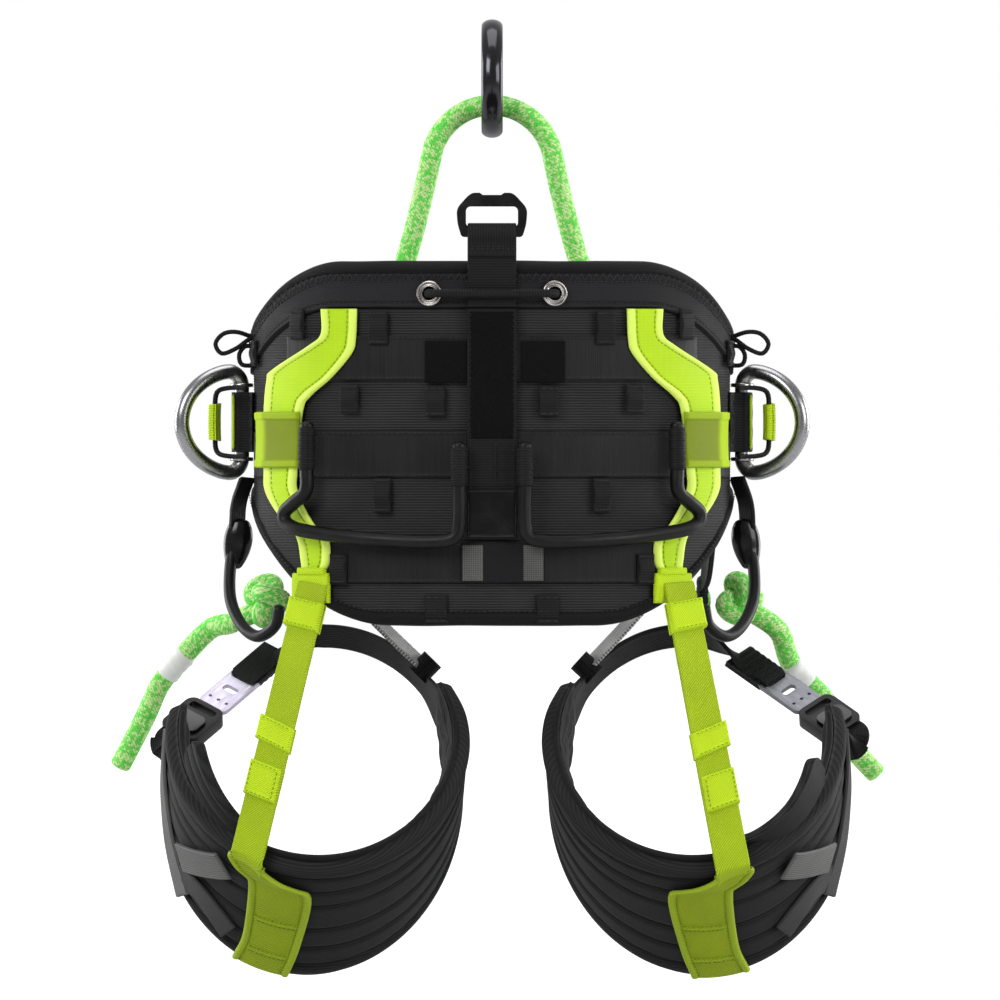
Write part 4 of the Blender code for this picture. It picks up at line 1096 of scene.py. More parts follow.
def make_hip_hanger(side, sign, start):
    """The webbing and glossy link that the hip loop hangs on."""
    root = np.array([sign * 0.1470, CENTRE_Y - 0.010, -0.0330])
    middle = start + np.array([0.0, 0.0, 0.004])
    path = resample([root, (root + middle) / 2 + np.array([sign * 0.0020, 0.0, 0.0]), middle], 0.0015)
    ways = np.repeat([[sign * 0.62, -0.78, 0.0]], len(path), 0)
    strap = ribbon("hip_loop_strap_" + side, path, ways, 0.0066, 0.0022, "black_webbing",
                   lambda U, V: 0.0002 * np.sin(pi * U / 0.0018) ** 2)
    place(strap, "saddle", "black_webbing")
    leaf = resample([start + (-sign * 0.0020, -0.0015, 0.0100), start + (-sign * 0.0016, -0.0010, 0.0020),
                     start + (0.0, -0.0010, -0.0090), start + (sign * 0.0020, -0.0040, -0.0200)], 0.0008)
    share = np.linspace(0.0, 1.0, len(leaf))
    radii = 0.0022 + 0.0030 * np.sin(pi * share ** 0.8) ** 0.8
    link, _, _ = pipe("hip_loop_link_" + side, leaf, radii, "gloss", 28, oval=1.65)
    place(link, "side_gear_loop_" + side, "black_plastic")


def d_ring_path(sign):
    yaw = radians(25.0)
    out = np.array([sign * cos(yaw), -sin(yaw), 0.0])
    bar = np.array([sign * 0.1505, CENTRE_Y + 0.004, 0.0])
    bend = 0.0090
    corner = [(bend + bend * cos(radians(a)), 0.0215 + bend * sin(radians(a))) for a in range(175, 95, -15)]
    points = [(0.0, -0.0160), (0.0, -0.0080), (0.0, 0.0), (0.0, 0.0080), (0.0, 0.0160), *corner]
    for k in range(12):
        turn = radians(72.0 - 144.0 * k / 11)
        points.append((0.0020 + 0.0375 * cos(turn), 0.0311 * sin(turn)))
    points += [(x, -z) for x, z in reversed(corner)]
    return np.array([bar + out * u + np.array([0, 0, v]) for u, v in points]), bar


def make_d_rings():
    for side, sign in SIDES.items():
        points, bar = d_ring_path(sign)
        path = resample(points, 0.0012, closed=True)
        obj, _, _ = pipe("side_d_ring_" + side, path, 0.0045, "polished", 28, closed=True)
        place(obj, "d_ring_" + side, "polished_aluminium", "d_ring_" + side)
        for end, z in (("upper", 0.0222), ("lower", -0.0222)):
            profile = [(0.0048, -0.0012), (0.0066, -0.0012), (0.0070, -0.0006), (0.0070, 0.0006),
                       (0.0066, 0.0012), (0.0048, 0.0012)]
            collar = turned(f"d_ring_collar_{end}_{side}", profile, bar + np.array([0, 0, z]),
                            (0, 0, 1), "nickel")
            place(collar, "d_ring_" + side, "polished_aluminium")
        make_d_ring_keeper(side, sign, bar)
        make_cords(side, sign)


def make_d_ring_keeper(side, sign, bar):
    """Webbing folded round the straight bar, with thin bright edges."""
    clear = 0.0045 + 0.0008
    root = HALF_WIDTH + WEB - abs(bar[0])
    profile = [(root, -0.0200), (root + 0.0010, -0.0085)]
    for k in range(9):
        turn = radians(-100.0 + 25.0 * k)
        profile.append((clear * cos(turn), clear * sin(turn)))
    profile += [(root + 0.0010, 0.0085), (root, 0.0180)]
    path = resample([(bar[0] + sign * u, bar[1] + v, 0.0) for u, v in profile], 0.0010)
    ways = np.repeat([[0.0, 0.0, 1.0]], len(path), 0)
    half = 0.0180

    def relief(U, V):
        return 0.0002 * np.sin(2 * pi * V / 0.0018) ** 2

    obj = ribbon("d_ring_web_" + side, path, ways, half, 0.0016, "black_webbing", relief)
    place(obj, "saddle", "black_webbing", "d_ring_keeper_" + side)
    fold = [(bar[0] + sign * 0.0050, bar[1] - 0.0040, z) for z in (-0.0165, -0.0060, 0.0060, 0.0165)]
    edge, _, _ = pipe("d_ring_web_edge_" + side, resample(fold, 0.0015), 0.0008, "lime_strap", 10)
    place(edge, "saddle", "lime_webbing")
    thread = Thread()
    face = path[len(path) // 6:len(path) // 6 + 3].mean(0)
    for z in (-0.012, -0.004, 0.004, 0.012):
        middle = face + np.array([sign * 0.0010, 0.0, z])
        thread.bar(middle - np.array([0, 0.0040, 0]), middle + np.array([0, 0.0040, 0]), (0, 0, 1.0), 0.003)
    place(thread.build("d_ring_bar_tacks_" + side, "black_thread"), "saddle", "black_webbing")


def make_cords(side, sign):
    """The sleeved cord through the D-ring and the small accessory loops."""
    loop = [(0.1475, -0.0235, 0.0205), (0.1580, -0.0140, 0.0205), (0.1650, -0.0080, 0.0180),
            (0.1665, -0.0060, 0.0090), (0.1665, -0.0060, -0.0090), (0.1650, -0.0080, -0.0180),
            (0.1580, -0.0140, -0.0205), (0.1475, -0.0235, -0.0205)]
    path = resample([(sign * x, CENTRE_Y + y, z) for x, y, z in loop], 0.0008)
    obj, _, _ = pipe("ring_cord_" + side, path, 0.0015, "black_webbing", 14, relief=cord_relief)
    place(obj, "saddle", "black_webbing", "d_ring_cord_" + side)
    middle = path[np.abs(path[:, 2]) < 0.0112]
    sleeve_path = middle[np.argsort(-middle[:, 2])]
    ways = np.repeat([[sign * 0.35, -0.94, 0.0]], len(sleeve_path), 0)
    sleeve = ribbon("cord_sleeve_" + side, sleeve_path, ways, 0.0044, 0.0046, "lime_keeper",
                    lambda U, V: 0.0010 * np.cos(V / 0.0044 * 1.5))
    place(sleeve, "saddle", "lime_webbing")
    large = [(0.1425, -0.014, 0.0505), (0.1530, -0.018, 0.0540), (0.1612, -0.018, 0.0530),
             (0.1660, -0.018, 0.0470), (0.1622, -0.018, 0.0412), (0.1540, -0.018, 0.0440),
             (0.1470, -0.016, 0.0490), (0.1420, -0.014, 0.0520)]
    low = [(0.1415, -0.014, 0.0450), (0.1480, -0.016, 0.0455), (0.1518, -0.016, 0.0405),
           (0.1500, -0.016, 0.0345), (0.1415, -0.014, 0.0340)]
    for name, points, nodes in (("small_cord_", large, ("accessory_loop_" + side,)), ("low_cord_", low, ())):
        path = resample([(sign * x, CENTRE_Y + y, z) for x, y, z in points], 0.0008)
        obj, _, _ = pipe(name + side, path, 0.0014, "black_webbing", 14, relief=cord_relief)
        place(obj, "saddle", "black_webbing", *nodes)


# ---- waist closure ----
def make_waist_closure():
    """Front webbing on both sides, and the two buckle plates."""
    half = 0.0215
    for side, sign in SIDES.items():
        ends = sorted(float(arc_of(sign * a)) for a in (100.0, 161.0))
        U, V = belt_grid(ends[0], ends[1], flat(-half), flat(half), 110, 40)
        selvedge = 0.0004 * np.exp(-((half - np.abs(V)) / 0.0012 - 1.0) ** 2)
        centre_line = 0.0003 * np.exp(-(V / 0.0100) ** 8)
        obj = sheet("front_web_" + side, belt, U, V, 0.0, 0.0019, "black_webbing", selvedge + centre_line)
        place(obj, "saddle", "black_webbing", "waist_strap_" + side)
    thick = 0.0030
    face = Matrix.Rotation(radians(-90.0), 4, "X")
    pivot = Vector((0.0385, CENTRE_Y + FRONT_DEPTH + 0.0002, 0.0))
    outline = rounded_outline(0.0560, 0.0580, 0.0070, (-0.0205, 0.0))
    window = rounded_outline(0.0240, 0.0450, 0.0035, (-0.0200, 0.0))
    obj = plate("waist_frame_plate", [outline, window], thick, Matrix.Translation(pivot) @ face,
                "anodised", 0.0009)
    place(obj, "waist_frame", "black_anodised", "waist_buckle_frame")
    tongue = pivot + Vector((-0.0770, thick + 0.0006, 0.0))
    outline = rounded_outline(0.0560, 0.0420, 0.0060, (0.0205, 0.0))
    window = rounded_outline(0.0100, 0.0320, 0.0030, (0.0340, 0.0))
    obj = plate("waist_tongue_plate", [outline, window], thick, Matrix.Translation(tongue) @ face,
                "polished", 0.0009)
    place(obj, "waist_tongue", "polished_aluminium", "waist_buckle_tongue")


# ---- rope bridge ----
def anchor_x(sign):
    return -0.1130 if sign < 0 else 0.1270


ANCHOR_Y = CENTRE_Y + 0.070
ANCHOR_Z = -0.107


def rope_controls():
    points = []
    for k in range(-7, 8):
        turn = radians(11.0 * k)
        points.append((0.0372 * sin(turn), CENTRE_Y + 0.115, 0.1550 + 0.0372 * cos(turn)))
    legs = {}
    for sign in (-1, 1):
        end = anchor_x(sign)
        legs[sign] = [(sign * x, CENTRE_Y + y, z) for x, y, z in
                      ((0.0430, 0.1150, 0.1330), (0.0530, 0.1145, 0.0960), (0.0690, 0.1130, 0.0500),
                       (0.0860, 0.1080, 0.0000), (0.0985, 0.0960, -0.0500))]
        legs[sign] += [(end - sign * x, CENTRE_Y + y, z) for x, y, z in
                       ((0.0220, 0.0820, -0.0830), (0.0165, 0.0742, -0.0985), (0.0080, 0.0700, -0.1070),
                        (-0.0050, 0.0700, -0.1070))]
    return [*reversed(legs[-1]), *points, *legs[1]]


def rope(name, path, radius=ROPE_RADIUS, strands=14, pitch=0.0150, seed=0.0):
    """Braided rope: two families of strands that pass over and under each other."""
    path = resample(path, 0.0007)

    def cells(T, S):
        a = T * strands / (2 * pi) + S / pitch * strands / 2
        b = T * strands / (2 * pi) - S / pitch * strands / 2
        return a, b

    def relief(T, S):
        a, b = cells(T, S)
        lump = np.abs(np.sin(pi * a)) ** 0.6 * np.abs(np.sin(pi * b)) ** 0.6
        return 0.00070 * lump - 0.0005

    obj, T, S = pipe(name, path, radius, "rope", 72, relief=relief)
    a, b = cells(T, S)
    lump = np.abs(np.sin(pi * a)) ** 0.6 * np.abs(np.sin(pi * b)) ** 0.6
    # The tint carries the painted shade between the strands: it is low where the braid's lumps fall away.
    tint = obj.data.attributes["tint"]
    tint.data.foreach_set("value", smoothstep(lump, 0.02, 0.42).astype(np.float32).ravel())
    over = hash_noise(np.floor(a) % strands, np.floor(b), seed)
    fleck = obj.data.attributes.new("fleck", "FLOAT", "POINT")
    drift = 0.5 + 0.5 * np.sin(S / 0.021 + seed) * np.sin(S / 0.0083 + 2.0 * seed)
    white = np.where(over > 0.60 - 0.25 * drift, 0.45 + 0.55 * over, 0.40 * over)
    fleck.data.foreach_set("value", white.astype(np.float32).ravel())
    return obj


def knot_path(centre, size, way):
    """A stopper knot: a trefoil whose three lobes wrap the standing rope."""
    t = np.linspace(0.0, 2 * pi, 90, endpoint=False)
    x = np.sin(t) + 1.55 * np.sin(2 * t)
    y = np.cos(t) - 1.55 * np.cos(2 * t)
    z = -1.25 * np.sin(3 * t)
    points = np.stack([z, x, y], -1) * size / 2.6
    turn = np.array(Matrix.Rotation(way, 3, "X") @ Matrix.Rotation(radians(24.0), 3, "Z"))
    return points @ turn.T + centre


TAILS = {"left": [(-0.1380, 0.0740, -0.1130), (-0.1475, 0.0760, -0.1165), (-0.1585, 0.0860, -0.1215),
                  (-0.1690, 0.0980, -0.1240),
                  (-0.1820, 0.1080, -0.1360), (-0.2000, 0.1160, -0.1570), (-0.2085, 0.1190, -0.1750),
                  (-0.2165, 0.1200, -0.1910), (-0.2262, 0.1200, -0.2094)],
         "right": [(0.1500, 0.0740, -0.1110), (0.1605, 0.0735, -0.1165), (0.1735, 0.0825, -0.1265),
                   (0.1800, 0.0980, -0.1440),
                   (0.1900, 0.1080, -0.1555), (0.2030, 0.1150, -0.1700), (0.2180, 0.1190, -0.1960),
                   (0.2340, 0.1200, -0.2142)]}


def make_bridge():
    place(rope("rope_bridge", rope_controls()), "bridge", "green_rope", "bridge_rope")
    low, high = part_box("bridge_ring")
    centre = (np.array(low) + np.array(high)) / 2
    bar = (high.x - low.x) / 2
    middle = (high.z - low.z) / 2 - bar
    flat_part = 0.0022
    profile = []
    for k in range(28):
        turn = 2 * pi * k / 28
        squash = flat_part if cos(turn) >= 0 else -flat_part
        profile.append((middle + squash + (bar - flat_part) * cos(turn), bar * sin(turn)))
    place(turned("rigging_ring", profile, centre, (1, 0, 0), "anodised", 96), "ring", "black_anodised",
          "bridge_ring")


def make_bridge_ends():
    """Anchor straps, sewn eyes, stopper knots, free tails and their blank tape."""
    for side, sign in SIDES.items():
        eye = np.array([anchor_x(sign), ANCHOR_Y, ANCHOR_Z])
        controls = [(sign * 0.1325, CENTRE_Y + 0.0320, -0.0160), (sign * 0.1340, CENTRE_Y + 0.0400, -0.0500),
                    (eye[0] + sign * 0.0040, CENTRE_Y + 0.0560, -0.0860), eye + (0.0, -0.0045, 0.0120)]
        path = resample(controls, 0.0015)
        ways = np.repeat([[0.0, 0.0090, 0.0070]], len(path), 0)
        strap = ribbon("anchor_strap_" + side, path, ways, 0.0112, 0.0028, "black_webbing",
                       lambda U, V: 0.0003 * np.exp(-((0.0112 - np.abs(V)) / 0.0012 - 1.0) ** 2))
        place(strap, "saddle", "black_webbing", "bridge_anchor_" + side)
        turn = np.linspace(0.0, 2 * pi, 60, endpoint=False)
        loop = eye + 0.0112 * np.stack([0 * turn, np.cos(turn), np.sin(turn)], -1)
        ring, _, _ = pipe("anchor_eye_web_" + side, loop, 0.0034, "black_webbing", 20, closed=True,
                          relief=lambda T, S: 0.0002 * np.sin(S / 0.0009))
        place(ring, "saddle", "black_webbing")
        low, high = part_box("bridge_knot_" + side)
        centre = (np.array(low) + np.array(high)) / 2
        path = knot_path(centre + (sign * 0.0020, 0.0, 0.0), 0.0118, radians(20.0 if sign < 0 else 200.0))
        closed = np.concatenate([path, path[:1]])
        knot = rope("stopper_knot_" + side, closed, 0.0060, seed=3.0 + sign)
        place(knot, "saddle", "green_rope", "bridge_knot_" + side)
        tail_path = resample([(x, CENTRE_Y + y, z) for x, y, z in TAILS[side]], 0.002)
        tail = rope("rope_tail_" + side, tail_path, seed=7.0 + sign)
        place(tail, "saddle", "green_rope", "bridge_tail_" + side)
        start = int(len(tail_path) * (0.44 if sign < 0 else 0.36))
        sleeve = resample(tail_path[start:start + 12], 0.0008)
        tape, _, _ = pipe("tail_tape_" + side, sleeve, ROPE_RADIUS + 0.0009, "pale_tape", 40,
                          relief=lambda T, S: 0.00022 * np.sin(3 * T + S / 0.0030) * np.sin(S / 0.0011))
        place(tape, "saddle", "green_rope")


# ---- leg loops ----
LEG_ANGLES = np.linspace(-170.0, 300.0, 1881)


def leg_axes(sign):
    """A leg loop's outward and forward directions and the thigh's own axis."""
    rise, run = sin(LEG_PITCH), cos(LEG_PITCH)
    lean, upright = sin(LEG_LEAN), cos(LEG_LEAN)
    outward = np.array([sign * upright, 0.0, lean])
    forward = np.array([-sign * rise * lean, run, rise * upright])
    thigh = np.array([-sign * run * lean, -rise, run * upright])
    return outward, forward, thigh


def leg_centre(sign):
    return np.array([sign * LEG_SPREAD + LEG_DRIFT, LEG_Y, LEG_Z])


def leg_raw(sign, angle, across, offset):
    outward, forward, thigh = leg_axes(sign)
    turn = np.radians(angle)
    out = ((LEG_HALF_WIDTH + offset) * np.sin(turn))[..., None] * outward
    back = ((LEG_HALF_LENGTH + offset) * np.cos(turn))[..., None] * forward
    return leg_centre(sign) + out - back + (across + 0.0 * turn)[..., None] * thigh


LEG_ARC = arc_table(leg_raw(1, LEG_ANGLES, 0.0 * LEG_ANGLES, 0.0 * LEG_ANGLES + LEG_PAD_THICK))
LEG_ARC = LEG_ARC - np.interp(0.0, LEG_ANGLES, LEG_ARC)


def leg_arc(angle):
    return np.interp(angle, LEG_ANGLES, LEG_ARC)


def leg_angle(arc):
    return np.interp(arc, LEG_ARC, LEG_ANGLES)


def leg_width(angle):
    t = np.minimum(1.0, np.abs(angle) / 130.0)
    return 0.026 + (LEG_PAD_WIDTH - 0.026) * (1.0 - t * t)


def leg_surface(sign):
    return lambda U, V, offset: leg_raw(sign, leg_angle(U), V, offset)


def applied(obj):
    """Replace an object's mesh by its evaluated one and drop the modifiers."""
    graph = bpy.context.evaluated_depsgraph_get()
    mesh = bpy.data.meshes.new_from_object(obj.evaluated_get(graph))
    obj.modifiers.clear()
    obj.data = mesh
    return obj


def coordinates(obj):
    points = np.zeros(len(obj.data.vertices) * 3, np.float32)
    obj.data.vertices.foreach_get("co", points)
    return points.reshape(-1, 3).astype(float)


def set_coordinates(obj, points):
    obj.data.vertices.foreach_set("co", np.asarray(points, np.float32).ravel())
    obj.data.update()


def inflate(obj, cap, pressure=4.0, frames=20):
    """Let cloth pressure fill a closed pad, within a cap."""
    rest = coordinates(obj)
    scene = bpy.context.scene
    modifier = obj.modifiers.new("cloth", "CLOTH")
    modifier.settings.use_pressure = True
    modifier.settings.uniform_pressure_force = pressure
    modifier.settings.quality = 5
    modifier.settings.effector_weights.gravity = 0.0
    modifier.point_cache.frame_start = 1
    modifier.point_cache.frame_end = frames
    for number in range(1, frames + 1):
        scene.frame_set(number)
    applied(obj)
    scene.frame_set(1)
    moved = coordinates(obj) - rest
    size = np.linalg.norm(moved, axis=1)
    moved *= np.minimum(1.0, cap / np.maximum(size, 1e-9))[:, None]
    set_coordinates(obj, rest + moved)


def finish_pad(obj, shader, levels, shape):
    """Subdivide a filled pad, shape it with a function of its points, and set its weave."""
    refine = obj.modifiers.new("refine", "SUBSURF")
    refine.levels = levels
    refine.render_levels = levels
    applied(obj)
    points, weave = shape(coordinates(obj))
    set_coordinates(obj, points)
    layer = obj.data.attributes.get("weave") or obj.data.attributes.new("weave", "FLOAT_VECTOR", "POINT")
    layer.data.foreach_set("vector", np.asarray(weave, np.float32).ravel())
    obj.data.materials.clear()
    obj.data.materials.append(MATERIAL[shader])
    obj.data.shade_smooth()


def ellipse_place(x, y, half_x, half_y):
    """The angle and the offset of points round an ellipse, by a few Newton steps."""
    offset = np.zeros_like(x)
    for _ in range(6):
        angle = np.arctan2(x / (half_x + offset), y / (half_y + offset))
        radius = np.hypot(x, y)
        edge = np.hypot((half_x + offset) * np.sin(angle), (half_y + offset) * np.cos(angle))
        offset = offset + (radius - edge)
    return angle, offset


LEG_GROOVES = (0.12, 0.25, 0.37, 0.57, 0.73, 0.88)


def leg_pad_shape(sign):
    """Sewn channels that run parallel to the pad's upper edge, and full rims."""
    outward, forward, thigh = leg_axes(sign)
    centre = leg_centre(sign)

    def shape(points):
        local = points - centre
        angle, offset = ellipse_place(local @ outward, -(local @ forward), LEG_HALF_WIDTH, LEG_HALF_LENGTH)
        angle = np.degrees(angle)
        across = local @ thigh
        width = leg_width(angle)
        t = 0.5 - across / width
        groove = np.zeros_like(t)
        for k, middle in enumerate(LEG_GROOVES):
            groove += np.exp(-(np.abs(t - middle) * width / (0.0017 if k != 2 else 0.0014)) ** 2)
        outer = smoothstep(offset, 0.5 * LEG_PAD_THICK, 0.9 * LEG_PAD_THICK)
        rim = smoothstep(offset, 0.15 * LEG_PAD_THICK, 0.6 * LEG_PAD_THICK)
        inner = smoothstep(-offset, -0.3 * LEG_PAD_THICK, 0.0)
        fade = smoothstep(-np.abs(angle + 8.0), -116.0, -96.0)
        roll = np.sin(pi * np.clip(t / 0.125, 0, 1)) ** 0.7
        roll = roll + 0.5 * np.sin(pi * np.clip((1 - t) / 0.12, 0, 1))
        sink = -0.0026 * groove * outer * fade + 0.0012 * groove * inner * fade + 0.0020 * roll * rim * fade
        step = leg_raw(sign, angle, across, offset + 0.001) - leg_raw(sign, angle, across, offset)
        normal = step / np.linalg.norm(step, axis=1)[:, None]
        weave = np.stack([leg_arc(angle), across, offset], -1)
        return points + normal * sink[:, None], weave
    return shape


def make_leg_pads():
    for side, sign in SIDES.items():
        u = np.linspace(float(leg_arc(-123.0)), float(leg_arc(99.0)), 120)
        t = np.linspace(-0.5, 0.5, 30)
        width = leg_width(leg_angle(u)) - 0.0015
        U = np.repeat(u[:, None], len(t), 1)
        V = width[:, None] * t[None]
        pad = sheet("pad_source", leg_surface(sign), U, V, 0.0012, LEG_PAD_THICK - 0.0024, "lining",
                    rounding=0.006)
        pad.name = "thigh_pad_" + side
        pad.data.name = pad.name
        inflate(pad, 0.0022)
        finish_pad(pad, "pad_cloth", 2, leg_pad_shape(sign))
        place(pad, "leg_" + side, "black_fabric", "leg_pad_" + side)
        angle = np.linspace(-118.0, 94.0, 180)
        for name, end in (("upper", 0.5), ("lower", -0.5)):
            path = leg_raw(sign, angle, leg_width(angle) * end, 0 * angle + 0.0048)
            piping, _, _ = pipe(f"pad_piping_{name}_{side}", path, 0.0016, "binding", 12)
            place(piping, "leg_" + side, "black_fabric")


def back_pad_shape(points):
    """Horizontal air channels on the side that meets the wearer."""
    angle, offset = ellipse_place(points[:, 0], CENTRE_Y - points[:, 1], HALF_WIDTH, HALF_DEPTH)
    angle = np.degrees(angle)
    arc = arc_of(angle)
    height = points[:, 2]
    inner = smoothstep(-offset, -0.5 * PAD_THICK, 0.0)
    groove = np.exp(-((np.mod(height + 0.010, 0.034) - 0.017) / 0.0022) ** 2)
    upright = np.exp(-((np.abs(arc) - 0.020) / 0.0030) ** 2)
    sink = 0.0030 * np.maximum(groove * smoothstep(np.abs(arc), 0.020, 0.026), upright) * inner
    outward = np.stack([np.sin(np.radians(angle)), -np.cos(np.radians(angle)), 0 * angle], -1)
    limit = np.minimum(0.0, PAD_THICK - 0.0002 - offset)
    weave = np.stack([arc, height, offset], -1)
    return points + outward * (sink + limit)[:, None], weave


def make_back_pad():
    u = np.linspace(-PAD_REACH + 0.001, PAD_REACH - 0.001, 160)
    t = np.linspace(0.0, 1.0, 56)
    low = belt_bottom(u) + RIM - 0.0035
    high = belt_top(u) - RIM + 0.0035
    U = np.repeat(u[:, None], len(t), 1)
    V = low[:, None] + (high - low)[:, None] * t[None]
    pad = sheet("waist_lining", belt, U, V, 0.0016, PAD_THICK - 0.0022, "lining", rounding=0.004)
    inflate(pad, 0.0026)
    finish_pad(pad, "lining", 1, back_pad_shape)
    place(pad, "saddle", "black_fabric", "back_pad")


PATCH_ROWS = [(-7.0, 7.2, 0.0485), (-7.8, 7.6, 0.0440), (-19.0, 2.0, 0.0340), (-25.0, -0.4, 0.0240),
              (-22.0, 0.3, -0.0200), (-18.5, 4.0, -0.0460)]


def make_leg_patch(side, sign, angle):
    """The zigzag reinforcement: piped rims, sunk panels and two stitched bars."""
    rows = resample([(a, b, z * 1000.0) for a, b, z in PATCH_ROWS], 0.8)
    t = spread(0.0, 1.0, 36, 0.03)
    inner = leg_arc(angle + rows[:, 0])
    outer = leg_arc(angle + rows[:, 1])
    U = inner[:, None] + (outer - inner)[:, None] * t[None]
    V = np.repeat(rows[:, 2:] / 1000.0, len(t), 1)
    width = (outer - inner)[:, None] * 0.9
    distance = np.minimum(t, 1 - t)[None] * width
    ends = np.minimum(V - V.min(), V.max() - V)
    bars = np.exp(-((V + 0.0010) / 0.0011) ** 2) + np.exp(-((V + 0.0300) / 0.0011) ** 2)
    panel = smoothstep(distance, 0.0040, 0.0050)
    relief = piped(distance, 0.0040) * 2.0 + 0.0012 * bars * panel
    step = 1 - smoothstep(V, 0.0030, 0.0045) * 0.6
    relief = relief - 0.0005 * panel * step
    tint = 0.5 * smoothstep(-distance, -0.0042, -0.0034) + 0.3 * bars * panel
    base = LEG_PAD_THICK + 0.0013 + 0.0034 * smoothstep(V, 0.0300, 0.0400)
    obj = sheet("bright_patch_" + side, leg_surface(sign), U, V, base, 0.0016, "lime_patch", relief,
                np.minimum(distance, ends + 0.0002), tint)
    place(obj, "leg_" + side, "lime_webbing", "leg_patch_" + side)
    thread = Thread()
    surface = leg_surface(sign)
    for z in (0.0010, -0.0030, -0.0280, -0.0320):
        k = int(np.argmin(np.abs(rows[:, 2] / 1000.0 - z)))
        u = np.linspace(inner[k] + 0.0055, outer[k] - 0.0055, 20)
        thread.line(surface(u, 0 * u + z, 0 * u + LEG_PAD_THICK + 0.0030), 0.0018, 0.0009, 0.00026)
    for edge, way in ((inner, 1), (outer, -1)):
        u = edge + way * 0.0050
        thread.line(surface(u, rows[:, 2] / 1000.0, base[:, 0] + 0.0012), 0.0019, 0.0009, 0.00022)
    place(thread.build("patch_stitching_" + side, "lime_thread"), "leg_" + side, "lime_webbing")


def riser_line(side, sign):
    """The riser's middle line and width directions, from the belt to the patch."""
    angle = PATCH_ANGLE[side]
    low = leg_raw(sign, angle, 0.0540, LEG_PAD_THICK + 0.0062)
    top = np.array(RISER_TOP[side])
    ahead = leg_raw(sign, angle + 1.0, 0.0, 0.0)
    pad_way = ahead - leg_raw(sign, angle, 0.0, 0.0)
    pad_way = pad_way / np.linalg.norm(pad_way) * sign
    belt_way = np.array([0.86, sign * 0.51, 0.0])
    t = np.linspace(-0.045, 1.0, 120)[:, None]
    line = top + (low - top) * t + np.array([0.0, -0.0030, 0.0]) * np.sin(pi * np.clip(t, 0, 1))
    ways = belt_way + (pad_way - belt_way) * np.clip(t, 0, 1)
    across = np.linspace(0.0530, 0.0385, 12)
    lap = leg_raw(sign, np.full(12, angle), across, LEG_PAD_THICK + np.linspace(0.0062, 0.0036, 12))
    return np.concatenate([line, lap]), np.concatenate([ways, np.repeat([pad_way], 12, 0)])


# name, start and end along the riser, half width, thickness, slant
RISER_KEEPERS = (("upper", 0.024, 0.135, 0.0122, 0.0064, 0.14),
                 ("middle", 0.490, 0.584, 0.0120, 0.0058, 0.28),
                 ("lower", 0.654, 0.786, 0.0108, 0.0070, 0.19))


def make_keeper(name, side, sign, line, ways, size):
    """A slanted band round the riser with folded hems; returns its outer face."""
    start, end, half, thick, slant = size
    u = spread(start, end, 40, 0.0008)
    v = spread(-half, half, 24)
    U, V = np.meshgrid(u, v, indexing="ij")
    length = np.concatenate([[0.0], np.cumsum(np.linalg.norm(np.diff(line, axis=0), axis=1))])
    ahead = np.gradient(line, axis=0)
    ahead /= np.linalg.norm(ahead, axis=1)[:, None]
    across = ways - ahead * np.sum(ways * ahead, 1)[:, None]
    across /= np.linalg.norm(across, axis=1)[:, None]
    normal = np.cross(ahead, across)
    normal *= np.where(normal[:, 1:2] > 0, -1.0, 1.0)

    def surface(a, b, offset):
        at = (a - sign * slant * b).ravel()
        rows = [np.stack([np.interp(at, length, field[:, k]) for k in range(3)], -1).reshape(*a.shape, 3)
                for field in (line, across, normal)]
        return rows[0] + (b - sign * -0.0010)[..., None] * rows[1] + offset[..., None] * rows[2]

    hem = 0.0005 * (1 - smoothstep(np.minimum(U - start, end - U), 0.0024, 0.0034))
    obj = sheet(f"riser_wrap_{name}_{side}", surface, U, V, -thick / 2, thick, "lime_keeper", hem,
                rounding=0.0014)
    place(obj, "leg_" + side, "lime_webbing")
    return lambda a, b: surface(np.asarray(a), np.asarray(b), 0 * np.asarray(a) + thick / 2 + 0.0005)


def make_risers():
    for side, sign in SIDES.items():
        line, ways = riser_line(side, sign)
        riser = ribbon("bright_riser_" + side, line, ways, 0.0106, 0.0022, "lime_riser",
                       lambda U, V: 0.0003 * np.exp(-((0.0106 - np.abs(V)) / 0.0010 - 1.0) ** 2))
        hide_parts("riser_" + side, "riser_keeper_" + side)
        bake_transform(riser)
        total = float(np.sum(np.linalg.norm(np.diff(line[:120], axis=0), axis=1)))
        thread = Thread()
        for name, first, last, half, thick, slant in RISER_KEEPERS:
            start = total * (first + 0.045) / 1.045
            end = total * (last + 0.045) / 1.045
            face = make_keeper(name, side, sign, line, ways, (start, end, half, thick, slant))
            v = np.linspace(-half * 0.84, half * 0.84, 12)
            for u in (start + 0.0018, end - 0.0018):
                thread.line(face(0 * v + u, v), 0.0019, 0.0010, 0.00026)
            if name == "lower":
                u = np.linspace(start + 0.002, end - 0.002, 12)
                for shift in (-0.8, 0.8):
                    thread.line(face(u, 0 * u + half * shift), 0.0019, 0.0010, 0.00026)
        place(thread.build("riser_stitching_" + side, "lime_thread"), "leg_" + side, "lime_webbing")
        make_leg_patch(side, sign, PATCH_ANGLE[side])


def line_point(side, sign, share):
    """A point on the taut line that carries the leg buckle."""
    start, end = (leg_raw(sign, *place) for place in BUCKLE_LINE[side])
    return start + (end - start) * share


def buckle_matrix(side, sign, share):
    """A frame on that line: X along it towards the front, Z facing out and back."""
    ahead = Vector(line_point(side, sign, 1.0) - line_point(side, sign, 0.0)).normalized()
    facing = Vector((sign * 0.45, -1.0, 0.30))
    normal = (facing - ahead * facing.dot(ahead)).normalized()
    basis = Matrix((ahead, normal.cross(ahead), normal)).transposed().to_4x4()
    return Matrix.Translation(Vector(line_point(side, sign, share))) @ basis


